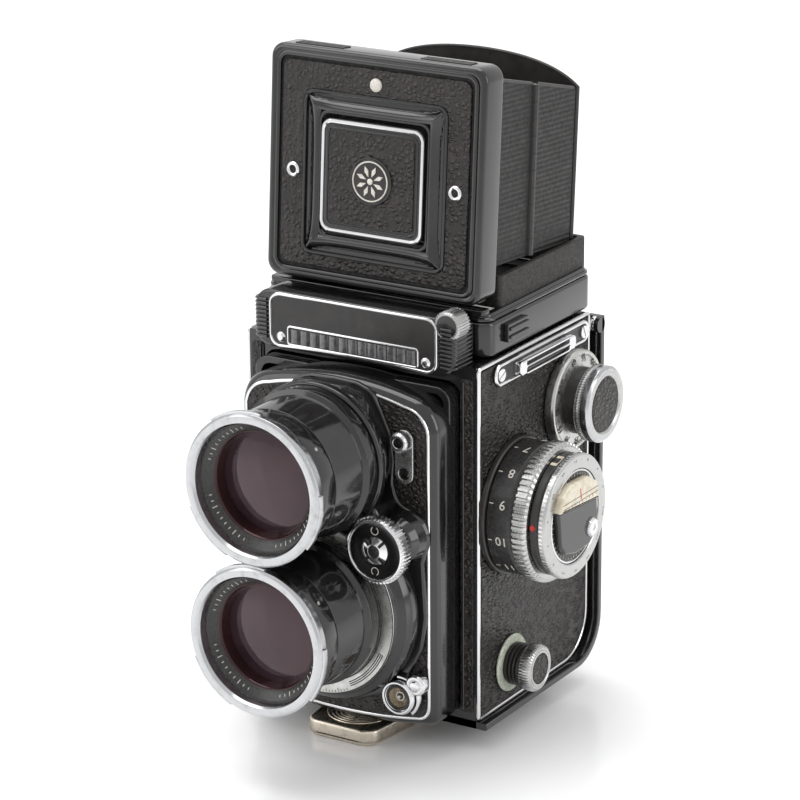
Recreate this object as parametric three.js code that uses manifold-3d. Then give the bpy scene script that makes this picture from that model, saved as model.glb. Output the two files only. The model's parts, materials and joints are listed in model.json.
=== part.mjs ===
// Twin lens reflex camera with two long-focus lenses. Millimetres, +Z up.
// The lenses face -Y, the focusing knob is on +X, and the camera stands on Z = 0 on its base.
import * as THREE from "three";
import { mergeVertices } from "three/addons/utils/BufferGeometryUtils.js";
import Module from "manifold-3d";

const wasm = await Module();
wasm.setup();

// ---- Driving dimensions ----
const GAP = 0.3; // clearance between neighbouring pieces

const BODY_HALF = 38.5; // half width of the casting
const BODY_FRONT = -38.5;
const BODY_REAR = 27.2;
const BODY_BOTTOM = 9.3;
const BODY_TOP = 117.3;
const DOOR_REAR = 31;
const DOOR_BOTTOM = 6.9;
const SIDE_COVER = 0.9; // thickness of the side covers
const CORNER_R = 14; // round of the bottom rear edge

const TAKING_Z = 45.9; // height of the taking lens axis
const VIEWING_Z = 91.4; // height of the viewing lens axis
const PLATE_FRONT = -52.2; // front face of the lens plate
const PLATE_HALF = 32;
const BOX_HALF = 33.2; // half width of the sliding box behind the lens plate
const POCKET_FLOOR = -30; // bottom of the pocket that the sliding box moves in
const SHUTTER_FACE = -64; // front face of the shutter housing
const BARREL_REAR = -64.3;
const BARREL_FRONT = -90.8;
const BARREL_R = 20.2;
const BEZEL_FRONT = -95.7;
const BEZEL_R = 22.3;
const FILTER_R = 19; // inside of the bayonet bezel
const WHEEL_X = 22.7; // setting wheels, between the lenses
const WHEEL_Z = (TAKING_Z + VIEWING_Z) / 2 + 0.3;
const WHEEL_R = 10;
const RELEASE = { x: -25.5, z: 23 };

const FOCUS_Y = -19;
const FOCUS_Z = 70.9;
const FOCUS_R = 20.6;
const CAM_R = 12; // cam radius that faces the lenses at rest
const CAM_PITCH = 1.51; // cam rise in mm per radian

const UPPER_Y = 13.3; // take-up spool axis
const UPPER_Z = 94.1;
const LOWER_Y = -20.8; // supply spool axis
const LOWER_Z = 22;
const SPOOL_R = 12.2;
const SPOOL_HALF = 32.4;
const GATE = 56; // side of the square film gate
const GEAR_MODULE = 4 / 3;
const CRANK_TEETH = 30;
const SPOOL_TEETH = 18;
const CRANK_Y = -4;
const CRANK_Z = 67.2;

const MIRROR_LINE = 100; // the mirror lies on z = y + MIRROR_LINE

const SKIRT_HALF = 36.2; // focusing hood frame
const SKIRT_TOP = 139.6;
const SKIRT_REAR = 29.5;
const WELL_HALF = 34.5;
const HINGE_Y = -25; // hood lid hinge
const HINGE_Z = 143.5;
const LEAN = THREE.MathUtils.degToRad(4); // the open hood leans back by this much
const LID_HALF = 36;
const LID_DOWN = -11; // lid edges, measured from the hinge
const LID_UP = 57.5;
const LID_DEPTH = 12;
const LEAF_X = 33; // side walls of the hood
const LEAF_LENGTH = 25.5;
const LEAF_TOP = 53.4; // top of the side walls at the lid, from where it slopes down
const LEAF_SLOPE = 0.18;

const DOOR_HINGE_Y = 28.7;
const DOOR_HINGE_Z = 112.9;

// ---- Solids ----
function solid(geometry) {
  const bare = geometry.index ? geometry.toNonIndexed() : geometry.clone();
  bare.deleteAttribute("normal");
  bare.deleteAttribute("uv");
  const merged = mergeVertices(bare, 1e-4);
  return new wasm.Manifold(
    new wasm.Mesh({
      numProp: 3,
      vertProperties: merged.attributes.position.array,
      triVerts: new Uint32Array(merged.index.array),
    }),
  );
}

function box(x0, x1, y0, y1, z0, z1) {
  const geometry = new THREE.BoxGeometry(x1 - x0, y1 - y0, z1 - z0);
  geometry.translate((x0 + x1) / 2, (y0 + y1) / 2, (z0 + z1) / 2);
  return solid(geometry);
}

// Turns a geometry made along +Z so that its +Z lies along the named axis,
// with its local x and y on the other two axes in the order of AXES.
const AXES = {
  x: new THREE.Matrix4().makeBasis(
    new THREE.Vector3(0, 1, 0), new THREE.Vector3(0, 0, 1), new THREE.Vector3(1, 0, 0)),
  y: new THREE.Matrix4().makeBasis(
    new THREE.Vector3(0, 0, 1), new THREE.Vector3(1, 0, 0), new THREE.Vector3(0, 1, 0)),
  z: new THREE.Matrix4(),
};

// A prism of a closed outline: its points are [y, z] for axis x, [z, x] for y and [x, y] for z.
function prism(axis, outline, from, to, curveSegments = 5) {
  const shape = outline instanceof THREE.Shape
    ? outline
    : new THREE.Shape(outline.map(([a, b]) => new THREE.Vector2(a, b)));
  const geometry = new THREE.ExtrudeGeometry(shape, {
    depth: to - from, bevelEnabled: false, curveSegments, steps: 1,
  });
  geometry.translate(0, 0, from);
  return solid(geometry.applyMatrix4(AXES[axis]));
}

// A round piece along an axis: profile points are [radius, position], a and b its centre on
// the other two axes.
function turned(axis, profile, a, b, segments = 24) {
  const geometry = new THREE.LatheGeometry(profile.map(([r, t]) => new THREE.Vector2(r, t)), segments);
  geometry.rotateX(Math.PI / 2);
  const ordered = profile.reduce((sum, [r, t], i) => {
    const [nextR, nextT] = profile[(i + 1) % profile.length];
    return sum + r * nextT - nextR * t;
  }, 0);
  if (ordered < 0) geometry.index.array.reverse();
  geometry.translate(a, b, 0);
  return solid(geometry.applyMatrix4(AXES[axis]));
}

const disc = (axis, r, from, to, a, b, segments = 24) =>
  turned(axis, [[0, from], [r, from], [r, to], [0, to]], a, b, segments);

const tube = (axis, outer, inner, from, to, a, b, segments = 24) =>
  disc(axis, outer, from, to, a, b, segments)
    .subtract(disc(axis, inner, from - 1, to + 1, a, b, segments));

function roundedRect(x0, x1, y0, y1, r) {
  const shape = new THREE.Shape();
  shape.moveTo(x0 + r, y0);
  shape.lineTo(x1 - r, y0);
  shape.absarc(x1 - r, y0 + r, r, -Math.PI / 2, 0);
  shape.absarc(x1 - r, y1 - r, r, 0, Math.PI / 2);
  shape.absarc(x0 + r, y1 - r, r, Math.PI / 2, Math.PI);
  shape.absarc(x0 + r, y0 + r, r, Math.PI, 1.5 * Math.PI);
  return shape;
}

// A slab with rounded corners whose thickness lies along an axis.
const slab = (axis, a0, a1, b0, b1, r, from, to, segments = 3) =>
  prism(axis, roundedRect(a0, a1, b0, b1, r), from, to, segments);

const union = (...pieces) => pieces.reduce((whole, piece) => whole.add(piece));

// ---- Nodes ----
const camera = new THREE.Group();
const PAINT = { color: 0x17171a, roughness: 0.35, metalness: 0.3 };
const LEATHER = { color: 0x1c1a1a, roughness: 0.7, metalness: 0 };
const CHROME = { color: 0xd6d6d8, roughness: 0.2, metalness: 1 };
const NICKEL = { color: 0xb9b0a0, roughness: 0.35, metalness: 1 };
const ALUMINIUM = { color: 0xb4b6b4, roughness: 0.45, metalness: 1 };
const GLASS = { color: 0x4a3238, roughness: 0.05, metalness: 0 };
const MIRROR = { color: 0xe8ecf0, roughness: 0.03, metalness: 1 };

function node(name, piece, look, parent = camera) {
  const { vertProperties, triVerts } = piece.getMesh();
  const geometry = new THREE.BufferGeometry();
  geometry.setAttribute("position", new THREE.BufferAttribute(vertProperties, 3));
  geometry.setIndex(new THREE.BufferAttribute(triVerts, 1));
  geometry.computeVertexNormals();
  const mesh = new THREE.Mesh(geometry, new THREE.MeshStandardMaterial(look));
  mesh.name = name;
  parent.add(mesh);
}

// ---- Body casting ----
function bodyOutline(front, rear, bottom, top, r) {
  const shape = new THREE.Shape();
  shape.moveTo(front, bottom);
  shape.lineTo(rear - r, bottom);
  shape.absarc(rear - r, bottom + r, r, -Math.PI / 2, 0);
  shape.lineTo(rear, top);
  shape.lineTo(front, top);
  return shape;
}

function bodyCasting() {
  const half = 30; // half width of the mirror chamber
  const spoolSlot = (y, z, side) =>
    disc("x", SPOOL_R + 0.8, side > 0 ? 30.5 : -33.6, side > 0 ? 33.6 : -30.5, y, z);
  const topChamber = [
    [-35.3, 66], [-31.4, 66], [20.9, BODY_TOP + 1], [-35.3, BODY_TOP + 1],
  ];
  const lightBox = [
    [POCKET_FLOOR - 1, 36.5], [-9, 36.5], [4, 24], [BODY_REAR + 1, TAKING_Z - GATE / 2],
    [BODY_REAR + 1, TAKING_Z + GATE / 2], [POCKET_FLOOR - 1, 59],
  ];
  const cuts = [
    slab("y", 11.6, 112.4, -33.6, 33.6, 5, BODY_FRONT - 1, POCKET_FLOOR),
    prism("x", topChamber, -half, half),
    prism("x", lightBox, -GATE / 2, GATE / 2),
    box(-29, 29, -31, 25.4, 113.7, BODY_TOP + 1),
    disc("x", 11.2, -30.6, 30.6, UPPER_Y, UPPER_Z),
    disc("x", 13, -34, 34, LOWER_Y, LOWER_Z),
    box(-34, 34, LOWER_Y - 11, LOWER_Y + 11, BODY_BOTTOM - 1, LOWER_Z - 5),
    box(-30.8, 30.8, LOWER_Y, BODY_REAR + 1, BODY_BOTTOM - 1, 16.9),
    box(-30.8, 30.8, 19.8, BODY_REAR + 1, 78, UPPER_Z),
    box(-30.6, 30.6, UPPER_Y, BODY_REAR + 1, UPPER_Z - 11, UPPER_Z + 11),
    box(-33.4, 33.4, 25, BODY_REAR + 1, 16, 78.4),
  ];
  for (const side of [1, -1]) {
    const x0 = Math.min(side * 30.5, side * 33.6);
    const x1 = Math.max(side * 30.5, side * 33.6);
    cuts.push(spoolSlot(UPPER_Y, UPPER_Z, side));
    cuts.push(box(x0, x1, UPPER_Y, BODY_REAR + 1, UPPER_Z - 13, UPPER_Z + 13));
    cuts.push(disc("x", 13.7, x0, x1, FOCUS_Y, FOCUS_Z));
    const [from, to] = side > 0 ? [30, 32.6] : [-32.6, -30];
    for (const [y, z] of ROLLERS) cuts.push(disc("x", 1.5, from, to, y, z, 10));
  }
  cuts.push(disc("x", 4, -34, BODY_HALF + 1, FOCUS_Y, FOCUS_Z)); // focusing shaft
  cuts.push(disc("x", 2.4, -35.4, -33, FOCUS_Y, FOCUS_Z, 14)); // seat of the meter stem
  cuts.push(disc("x", 2.7, 30, BODY_HALF + 1, UPPER_Y, UPPER_Z, 14));
  cuts.push(disc("x", 2.7, 30, BODY_HALF + 1, LOWER_Y, LOWER_Z, 14));
  cuts.push(disc("x", 2.7, -36.5, -30, UPPER_Y, UPPER_Z, 14));
  cuts.push(disc("x", 13.8, -BODY_HALF - 1, -35.7, UPPER_Y, UPPER_Z)); // gear pocket
  cuts.push(disc("x", 21.8, -BODY_HALF - 1, -35.7, CRANK_Y, CRANK_Z));
  // The rebate for the door's hinge.
  cuts.push(box(-BODY_HALF - 1, BODY_HALF + 1, 25.4, BODY_REAR + 2, 107.4, BODY_TOP + 1));
  const shell = cuts.reduce(
    (whole, cut) => whole.subtract(cut),
    prism("x", bodyOutline(BODY_FRONT, BODY_REAR, BODY_BOTTOM, BODY_TOP, CORNER_R - 3),
      -BODY_HALF, BODY_HALF),
  );
  const stud = disc("x", 2.2, -34.4, -31.4, LOWER_Y, LOWER_Z, 14); // carries the supply spool
  const knuckle = disc("x", 2.3, -25.5, 25.5, DOOR_HINGE_Y, DOOR_HINGE_Z, 14)
    .add(box(-25.5, 25.5, 25, DOOR_HINGE_Y, DOOR_HINGE_Z - 2.3, DOOR_HINGE_Z + 2.3))
    .subtract(disc("x", 1.35, -30, 30, DOOR_HINGE_Y, DOOR_HINGE_Z, 12));
  return union(shell, stud, knuckle);
}

const ROLLERS = [[20.4, 13.8], [23.2, 80.9]];
node("body_casting", bodyCasting(), PAINT);

function sideCover(side) {
  const x0 = side * (BODY_HALF + GAP);
  const x1 = side * (BODY_HALF + GAP + SIDE_COVER);
  const outline = bodyOutline(BODY_FRONT + 1, BODY_REAR - 1.5, BODY_BOTTOM + 1, BODY_TOP - 1, CORNER_R - 4);
  const plate = prism("x", outline, Math.min(x0, x1), Math.max(x0, x1));
  const [from, to] = side > 0 ? [36, 42] : [-42, -36];
  const holes = side > 0
    ? [[4.4, FOCUS_Y, FOCUS_Z], [2.9, UPPER_Y, UPPER_Z], [2.9, LOWER_Y, LOWER_Z]]
    : [[3.2, CRANK_Y, CRANK_Z]];
  const drilled = holes.reduce((whole, [r, y, z]) => whole.subtract(disc("x", r, from, to, y, z, 14)), plate);
  return drilled.subtract(box(from, to, 25, 30, 106.5, BODY_TOP)); // clear of the door hinge
}
node("side_cover_right", sideCover(1), LEATHER);
node("side_cover_left", sideCover(-1), LEATHER);

// ---- Mirror and focusing screen ----
{
  // The y of the mirror's two edges, and how far its back stands off.
  const [low, high, back] = [-30.9, 12.6, 1.1];
  const sheet = [
    [low, low + MIRROR_LINE], [high, high + MIRROR_LINE],
    [high + back, high + MIRROR_LINE - back], [low + back, low + MIRROR_LINE - back],
  ];
  const outline = [[60, -20], [60, 20], [116, 27.5], [116, -27.5]];
  node("viewfinder_mirror", prism("x", sheet, -28, 28).intersect(prism("y", outline, -40, 40)), MIRROR);
  node("focusing_screen", box(-28.6, 28.6, -30.6, 25, 114, 116.6), { ...GLASS, color: 0xd8dcd8 });
}

// ---- Film path ----
node(
  "film_gate",
  box(-33, 33, 25.3, 26.8, 17.4, 78)
    .subtract(box(-GATE / 2, GATE / 2, 20, 30, TAKING_Z - GATE / 2, TAKING_Z + GATE / 2)),
  PAINT,
);
["lower", "upper"].forEach((place, i) => {
  const profile = [
    [0, -32], [1.2, -32], [1.2, -30.3], [2.6, -30.3], [2.6, 30.3], [1.2, 30.3], [1.2, 32], [0, 32],
  ];
  node(`film_roller_${place}`, turned("x", profile, ...ROLLERS[i], 12), CHROME);
});

function spool(y, z) {
  const profile = [
    [2.8, -SPOOL_HALF], [SPOOL_R, -SPOOL_HALF], [SPOOL_R, -31], [5.5, -31],
    [5.5, 31], [SPOOL_R, 31], [SPOOL_R, SPOOL_HALF], [2.8, SPOOL_HALF], [2.8, -SPOOL_HALF],
  ];
  return turned("x", profile, y, z, 20);
}
node("take_up_spool", spool(UPPER_Y, UPPER_Z), PAINT);

// ---- Winding crank and its gears ----
function gear(teeth, y, z, from, to, phase) {
  const pitch = (GEAR_MODULE * teeth) / 2;
  const outline = [];
  for (let tooth = 0; tooth < teeth; tooth++) {
    for (const [share, r] of [[-0.3, -1.15], [-0.13, 0.8], [0.13, 0.8], [0.3, -1.15]]) {
      const angle = ((tooth + share) / teeth) * 2 * Math.PI + phase;
      const reach = pitch + r * GEAR_MODULE;
      outline.push([y + reach * Math.cos(angle), z + reach * Math.sin(angle)]);
    }
  }
  return prism("x", outline, from, to);
}

const meshAngle = Math.atan2(UPPER_Z - CRANK_Z, UPPER_Y - CRANK_Y);
{
  const key = disc("x", 2.2, -38, -30, UPPER_Y, UPPER_Z, 14);
  const phase = meshAngle + Math.PI + Math.PI / SPOOL_TEETH;
  node("take_up_gear", gear(SPOOL_TEETH, UPPER_Y, UPPER_Z, -38, -36, phase).add(key), ALUMINIUM);
  node("crank_gear", gear(CRANK_TEETH, CRANK_Y, CRANK_Z, -38, -36, meshAngle)
    .add(disc("x", 2.6, -44, -37, CRANK_Y, CRANK_Z, 14)), ALUMINIUM);
}

const CRANK_LENGTH = 27;
{
  const hub = tube("x", 10, 2.9, -45.2, -40, CRANK_Y, CRANK_Z);
  const cap = disc("x", 6, -46.6, -44.4, CRANK_Y, CRANK_Z);
  const foot = CRANK_Z - CRANK_LENGTH;
  const arm = slab("x", CRANK_Y - 5, CRANK_Y + 5, foot, CRANK_Z + 5, 4.9, -47.4, -44.4, 8);
  const slot = box(-50, -44, CRANK_Y - 3, CRANK_Y + 3, CRANK_Z - CRANK_LENGTH + 2, CRANK_Z - 7.5);
  const web = box(-45.3, -44.4, CRANK_Y - 5, CRANK_Y + 5, CRANK_Z - CRANK_LENGTH + 5, CRANK_Z - 3);
  node("crank_arm", union(hub, cap, arm.subtract(slot), web), CHROME);
  const top = CRANK_Z - CRANK_LENGTH + 18;
  const grip = disc("z", 2.6, CRANK_Z - CRANK_LENGTH + 2.6, top, -48.4, CRANK_Y, 12);
  node("crank_grip", grip, PAINT);
}

// ---- Focusing shaft, cams and knob ----
function cam(from, to) {
  const outline = [];
  const turn = THREE.MathUtils.degToRad(320);
  // Turning the shaft about +X brings a smaller or larger radius to the side that faces the lenses (-Y).
  for (let i = 0; i <= 32; i++) {
    const angle = -turn * 0.14 + (turn * i) / 32;
    const rest = Math.PI - angle;
    const r = CAM_R - CAM_PITCH * angle;
    outline.push([FOCUS_Y + r * Math.cos(rest), FOCUS_Z + r * Math.sin(rest)]);
  }
  return prism("x", outline.reverse(), from, to);
}
{
  const shaft = disc("x", 3.5, -33.4, 44.6, FOCUS_Y, FOCUS_Z, 18);
  const cams = [cam(30.7, 33.2), cam(-33.2, -30.7)];
  const bore = disc("x", 2.4, -40, 60, FOCUS_Y, FOCUS_Z, 18);
  node("focus_shaft", union(shaft, ...cams).subtract(bore), CHROME);
}
node("focus_flange", tube("x", FOCUS_R, 4.4, 39.9, 41.2, FOCUS_Y, FOCUS_Z, 32), PAINT);
{
  const profile = [
    [3.8, 41.6], [19.4, 41.6], [19.8, 42.5], [19.8, 49.7], [FOCUS_R, 49.9], [FOCUS_R, 54.6],
    [17.4, 54.6], [17.4, 44.6], [3.8, 44.6], [3.8, 41.6],
  ];
  node("focus_ring", turned("x", profile, FOCUS_Y, FOCUS_Z, 32), CHROME);
}
const DIAL_FACE = 60.3;
const KNOB_AT = [FOCUS_Y + 6.7, FOCUS_Z - 5];
{
  const head = [
    [0, 45.2], [16.4, 45.2], [16.4, 54.9], [18, 54.9], [18, 57.6], [13.6, 57.6], [13.6, 59.6], [0, 59.6],
  ];
  const stem = disc("x", 2.05, -35.1, 46, FOCUS_Y, FOCUS_Z, 14);
  const window = prism("y", [
    [FOCUS_Z - 0.5, 59], [FOCUS_Z - 0.5, 60.6], [FOCUS_Z + 3, 62.6], [FOCUS_Z + 10.2, 62.6],
    [FOCUS_Z + 10.9, 59],
  ], FOCUS_Y - 8, FOCUS_Y + 7.5);
  const well = box(57.5, 64, FOCUS_Y - 6.8, FOCUS_Y + 5.8, FOCUS_Z + 2.6, FOCUS_Z + 9.6);
  const knobHole = disc("x", 1.3, 56.5, 62, ...KNOB_AT, 10);
  node("meter_head", turned("x", head, FOCUS_Y, FOCUS_Z, 28).add(stem).add(window)
    .subtract(well).subtract(knobHole), PAINT);
  node("meter_window", box(61, 62.4, FOCUS_Y - 6.5, FOCUS_Y + 5.5, FOCUS_Z + 2.9, FOCUS_Z + 9.3),
    { ...GLASS, color: 0xe8dcc0 });
  node("meter_needle", union(
    disc("x", 0.9, 58, 59.2, FOCUS_Y - 0.5, FOCUS_Z + 4, 10),
    box(58.2, 58.8, FOCUS_Y - 0.8, FOCUS_Y - 0.2, FOCUS_Z + 4, FOCUS_Z + 8.8),
  ), { color: 0xb02018, roughness: 0.5, metalness: 0.2 });
  const dial = [[14, 57.9], [18.4, 57.9], [18.4, DIAL_FACE], [14, DIAL_FACE], [14, 57.9]];
  node("film_speed_dial", turned("x", dial, FOCUS_Y, FOCUS_Z, 32), ALUMINIUM);
  node("film_speed_knob", turned("x",
    [[0, 57], [1, 57], [1, 59.9], [2.9, 59.9], [2.9, 62.2], [2.3, 62.6], [0, 62.6]], ...KNOB_AT, 18), CHROME);
}

// ---- Spool knobs and exposure counter dial ----
{
  const dial = [[2.6, 40], [15, 40], [15, 42.4], [14.2, 43.6], [2.6, 43.6], [2.6, 40]];
  node("counter_dial", turned("x", dial, UPPER_Y, UPPER_Z, 28), ALUMINIUM);
  const knob = [
    [0, 31.6], [2.2, 31.6], [2.2, 44], [10.6, 44], [11.5, 45], [11.5, 51], [10.6, 52.3],
    [8.6, 52.3], [8.4, 51.7], [0, 51.7],
  ];
  node("upper_spool_knob", turned("x", knob, UPPER_Y, UPPER_Z, 28), CHROME);
  const pull = [
    [0, 31.6], [2.2, 31.6], [2.2, 42], [6.6, 42], [7.1, 42.6], [7.1, 49.2], [6.4, 50],
    [4.9, 50], [4.8, 49.5], [0, 49.5],
  ];
  node("lower_spool_knob", turned("x", pull, LOWER_Y, LOWER_Z, 24), CHROME);
}

// ---- Strap lugs ----
for (const side of [1, -1]) {
  const span = (a, b) => [Math.min(side * a, side * b), Math.max(side * a, side * b)];
  const base = slab("x", -31, 23.5, 109.6, 116, 3.1, ...span(39.9, 40.9));
  const bridge = slab("x", -21, 11.5, 110.2, 115.4, 2.5, ...span(40.5, 43.2));
  const under = box(...span(41.2, 42.1), -17.5, 7.5, 100, 120);
  const openings = [[111, 112.3], [113.3, 114.6]].map(([z0, z1]) =>
    box(...span(41.2, 45), -17.5, 7.5, z0, z1));
  const lug = [under, ...openings].reduce((whole, cut) => whole.subtract(cut), base.add(bridge));
  node(side > 0 ? "strap_lug_right" : "strap_lug_left", lug, CHROME);
}

// ---- Meter housing on the front ----
const HOUSING_HALF = 33.8;
const THUMB = { x: 31.2, z: 129.6, r: 4.4 };
{
  const outline = [
    [-43.5, 114.4], [-38.8, 114.4], [-38.8, 117.6], [-31.5, 117.6], [-31.5, 131.6], [-42, 131.6],
    [-43.5, 130.4],
  ];
  const front = roundedRect(114, 132, -HOUSING_HALF, HOUSING_HALF, 5);
  const recess = slab("y", 115.8, 121.4, -21.4, 21.4, 2, -45, -42.2);
  const notch = disc("y", THUMB.r + 0.4, -42.8, -37.8, THUMB.z, THUMB.x, 20);
  const axle = disc("y", 1.3, -43, -36, THUMB.z, THUMB.x, 10);
  node("meter_housing", prism("x", outline, -HOUSING_HALF, HOUSING_HALF)
    .intersect(prism("y", front, -50, -30)).subtract(recess).subtract(notch).subtract(axle), PAINT);
  let cell = slab("y", 116.1, 121.1, -21.1, 21.1, 1.8, -43.9, -42.5);
  for (let rib = 0; rib < 13; rib++) {
    const x = -19.2 + rib * 3.2;
    cell = cell.add(disc("z", 1.3, 116.6, 120.6, x, -43.8, 8));
  }
  node("meter_cell_window", cell, { ...GLASS, color: 0x7c8288 });
  node("finder_thumbwheel", disc("y", THUMB.r, -42.5, -38.1, THUMB.z, THUMB.x, 24)
    .add(disc("y", 1, -42.7, -36.4, THUMB.z, THUMB.x, 10)), CHROME);
}

// ---- Lens standard: sliding box, plate, shutter housing ----
{
  const outer = slab("y", 12, 112, -BOX_HALF, BOX_HALF, 4.6, -49.4, -37.4);
  const inner = slab("y", 14.4, 109.6, -BOX_HALF + 2.4, BOX_HALF - 2.4, 3, -47.4, -36);
  const light = [TAKING_Z, VIEWING_Z].map((z) => disc("y", 17, -52, -46, z, 0));
  const release = disc("y", 2.4, -52, -46, RELEASE.z, RELEASE.x, 14);
  const reach = FOCUS_Y - CAM_R - 0.35;
  const followers = [31.95, -31.95].map((x) =>
    box(x - 1, x + 1, -40, reach, FOCUS_Z - 1, FOCUS_Z + 1));
  const sleeve = [inner, release, ...light].reduce((whole, cut) => whole.subtract(cut), outer);
  node("standard_box", union(sleeve, ...followers), PAINT);
}

function plateOutline(inset) {
  const half = PLATE_HALF - inset;
  const shape = new THREE.Shape(); // points are [z, x]
  shape.moveTo(11.5 + inset, -half + 4);
  shape.quadraticCurveTo(6.6 + inset, 0, 11.5 + inset, half - 4);
  shape.quadraticCurveTo(11.8 + inset, half, 16, half);
  shape.lineTo(100, half);
  shape.quadraticCurveTo(107 - inset / 2, half - 1, 108.5 - inset, half - 8);
  shape.quadraticCurveTo(114.6 - inset, 0, 108.5 - inset, -half + 8);
  shape.quadraticCurveTo(107 - inset / 2, -half + 1, 100, -half);
  shape.lineTo(16, -half);
  shape.quadraticCurveTo(11.8 + inset, -half, 11.5 + inset, -half + 4);
  return shape;
}
{
  const holes = [
    disc("y", 17, -55, -45, TAKING_Z, 0), disc("y", 17, -55, -45, VIEWING_Z, 0),
    disc("y", 2.4, -55, -45, RELEASE.z, RELEASE.x, 14),
  ];
  node("front_plate", holes.reduce((w, hole) => w.subtract(hole),
    prism("y", plateOutline(0), -52.2, -49.7, 10)), PAINT);
}

const SOCKET = { x: 22.9, z: 20 };
const SYNC = { x: 23.8, z: 87.8, length: 10.2 };
{
  // The shutter housing wraps both lenses in one figure of eight, with bosses under the setting wheels.
  const taking = turned("y", [
    [0, -52.5], [28.2, -52.5], [28.9, SHUTTER_FACE + 5], [28, SHUTTER_FACE + 2], [26, SHUTTER_FACE],
    [0, SHUTTER_FACE],
  ], TAKING_Z, 0, 36);
  const viewing = turned("y", [
    [0, -52.5], [18.5, -52.5], [20, SHUTTER_FACE + 5], [22, SHUTTER_FACE + 1], [22, SHUTTER_FACE],
    [0, SHUTTER_FACE],
  ], VIEWING_Z, 0, 36);
  const bosses = [WHEEL_X, -WHEEL_X].map((x) => turned("y",
    [[0, -52.5], [7.6, -52.5], [7.6, -60], [5.5, -62.6], [0, -62.6]], WHEEL_Z, x + Math.sign(x) * 1.2, 20));
  const waist = prism("y", [
    [TAKING_Z + 12, -26], [VIEWING_Z - 14, -20], [VIEWING_Z - 14, 20], [TAKING_Z + 12, 26],
  ], -61, -52.5);
  const arch = prism("y", [
    [VIEWING_Z, -17], [110.4, -13.5], [111.6, -7], [111.9, 0], [111.6, 7], [110.4, 13.5], [VIEWING_Z, 17],
  ], -58.5, -52.5);
  const bores = [TAKING_Z, VIEWING_Z].map((z) => disc("y", 16.5, -70, -50, z, 0, 28));
  const shafts = [WHEEL_X, -WHEEL_X].map((x) => disc("y", 2.4, -70, -56, WHEEL_Z, x, 12));
  const whole = union(taking, viewing, waist, arch, ...bosses);
  node("shutter_housing", [...bores, ...shafts].reduce((w, cut) => w.subtract(cut), whole), PAINT);
}

// ---- Lenses ----
for (const [name, z, ahead] of [["taking", TAKING_Z, 0], ["viewing", VIEWING_Z, 0.6]]) {
  const barrel = [
    [16, BARREL_REAR], [21.9, BARREL_REAR], [21.9, -69], [BARREL_R, -69.6], [BARREL_R, -83.6],
    [BARREL_R - 0.6, -83.9], [BARREL_R - 0.6, -84.5], [BARREL_R + 0.4, -84.8], [BARREL_R + 0.4, BARREL_FRONT],
    [16, BARREL_FRONT], [16, BARREL_REAR],
  ];
  node(`${name}_barrel`, turned("y", barrel, z, 0, 28), PAINT);
  const front = BEZEL_FRONT - ahead;
  const bezel = [
    [FILTER_R, front], [FILTER_R, BARREL_FRONT - 1.4], [17.6, BARREL_FRONT - 1.4], [17.6, BARREL_FRONT - GAP],
    [21, BARREL_FRONT - GAP], [21, -93.4], [BEZEL_R, -93.6], [BEZEL_R, front + 0.5], [BEZEL_R - 0.5, front],
    [FILTER_R, front],
  ];
  node(`${name}_bezel`, turned("y", bezel, z, 0, 32), CHROME);
  const glass = [
    [0, -92.2], [8, -91.7], [13, -90.6], [15.6, -89.6], [15.6, -86], [0, -85],
  ];
  node(`${name}_lens`, turned("y", glass, z, 0, 24), GLASS);
}

// ---- Setting wheels, synchronising lever, flash socket, release ----
for (const side of [1, -1]) {
  const wheel = [
    [0, -57.4], [2, -57.4], [2, -64.3], [WHEEL_R - 0.6, -64.3], [WHEEL_R, -64.9], [WHEEL_R, -68],
    [WHEEL_R - 0.6, -68.6], [0, -68.6],
  ];
  const bowl = disc("y", 8.2, -69, -68, WHEEL_Z, side * WHEEL_X, 24);
  node(side > 0 ? "shutter_speed_wheel" : "aperture_wheel",
    turned("y", wheel, WHEEL_Z, side * WHEEL_X, 28).subtract(bowl), CHROME);
}
{
  const lever = new THREE.Shape(); // points are [z, x]
  const r = 3;
  lever.absarc(SYNC.z, SYNC.x, r, Math.PI / 2, 1.5 * Math.PI);
  lever.absarc(SYNC.z + SYNC.length, SYNC.x, r, -Math.PI / 2, Math.PI / 2);
  node("sync_lever", prism("y", lever, -54, -52.8, 10)
    .add(tube("y", 2.9, 1.7, -57.2, -53.4, SYNC.z + SYNC.length, SYNC.x, 18)), CHROME);
  const socket = [
    [0, -52.5], [5.2, -52.5], [5.2, -56.6], [4.7, -57.2], [3.3, -57.2], [3.3, -54], [0.8, -54], [0.8, -56.4],
    [0, -56.4],
  ];
  node("flash_socket", turned("y", socket, SOCKET.z, SOCKET.x, 24), CHROME);
  const pivot = { x: SOCKET.x + 5.4, z: SOCKET.z + 4.1 };
  const lock = union(
    tube("y", 6.6, 5.6, -55.6, -53.2, SOCKET.z, SOCKET.x, 24)
      .intersect(box(SOCKET.x + 1.5, SOCKET.x + 9, -60, -50, SOCKET.z - 7, SOCKET.z + 9)),
    disc("y", 2.6, -56.6, -53.2, pivot.z + 0.9, pivot.x + 0.4, 18)
      .subtract(disc("y", 5.7, -60, -50, SOCKET.z, SOCKET.x, 24)),
  );
  node("socket_lock_lever", lock, CHROME);
  node("release_button", turned("y",
    [[0, -48.5], [2, -48.5], [2, -57], [2.9, -57], [2.9, -58.4], [2.2, -59], [0, -59]],
    RELEASE.z, RELEASE.x, 18), CHROME);
  const collar = tube("y", 5, 3.3, -57.6, -52.5, RELEASE.z, RELEASE.x, 20);
  node("release_lock_collar", collar.add(
    box(RELEASE.x - 1.1, RELEASE.x + 1.1, -55.4, -53.4, RELEASE.z - 7, RELEASE.z - 4)), CHROME);
}

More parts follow.
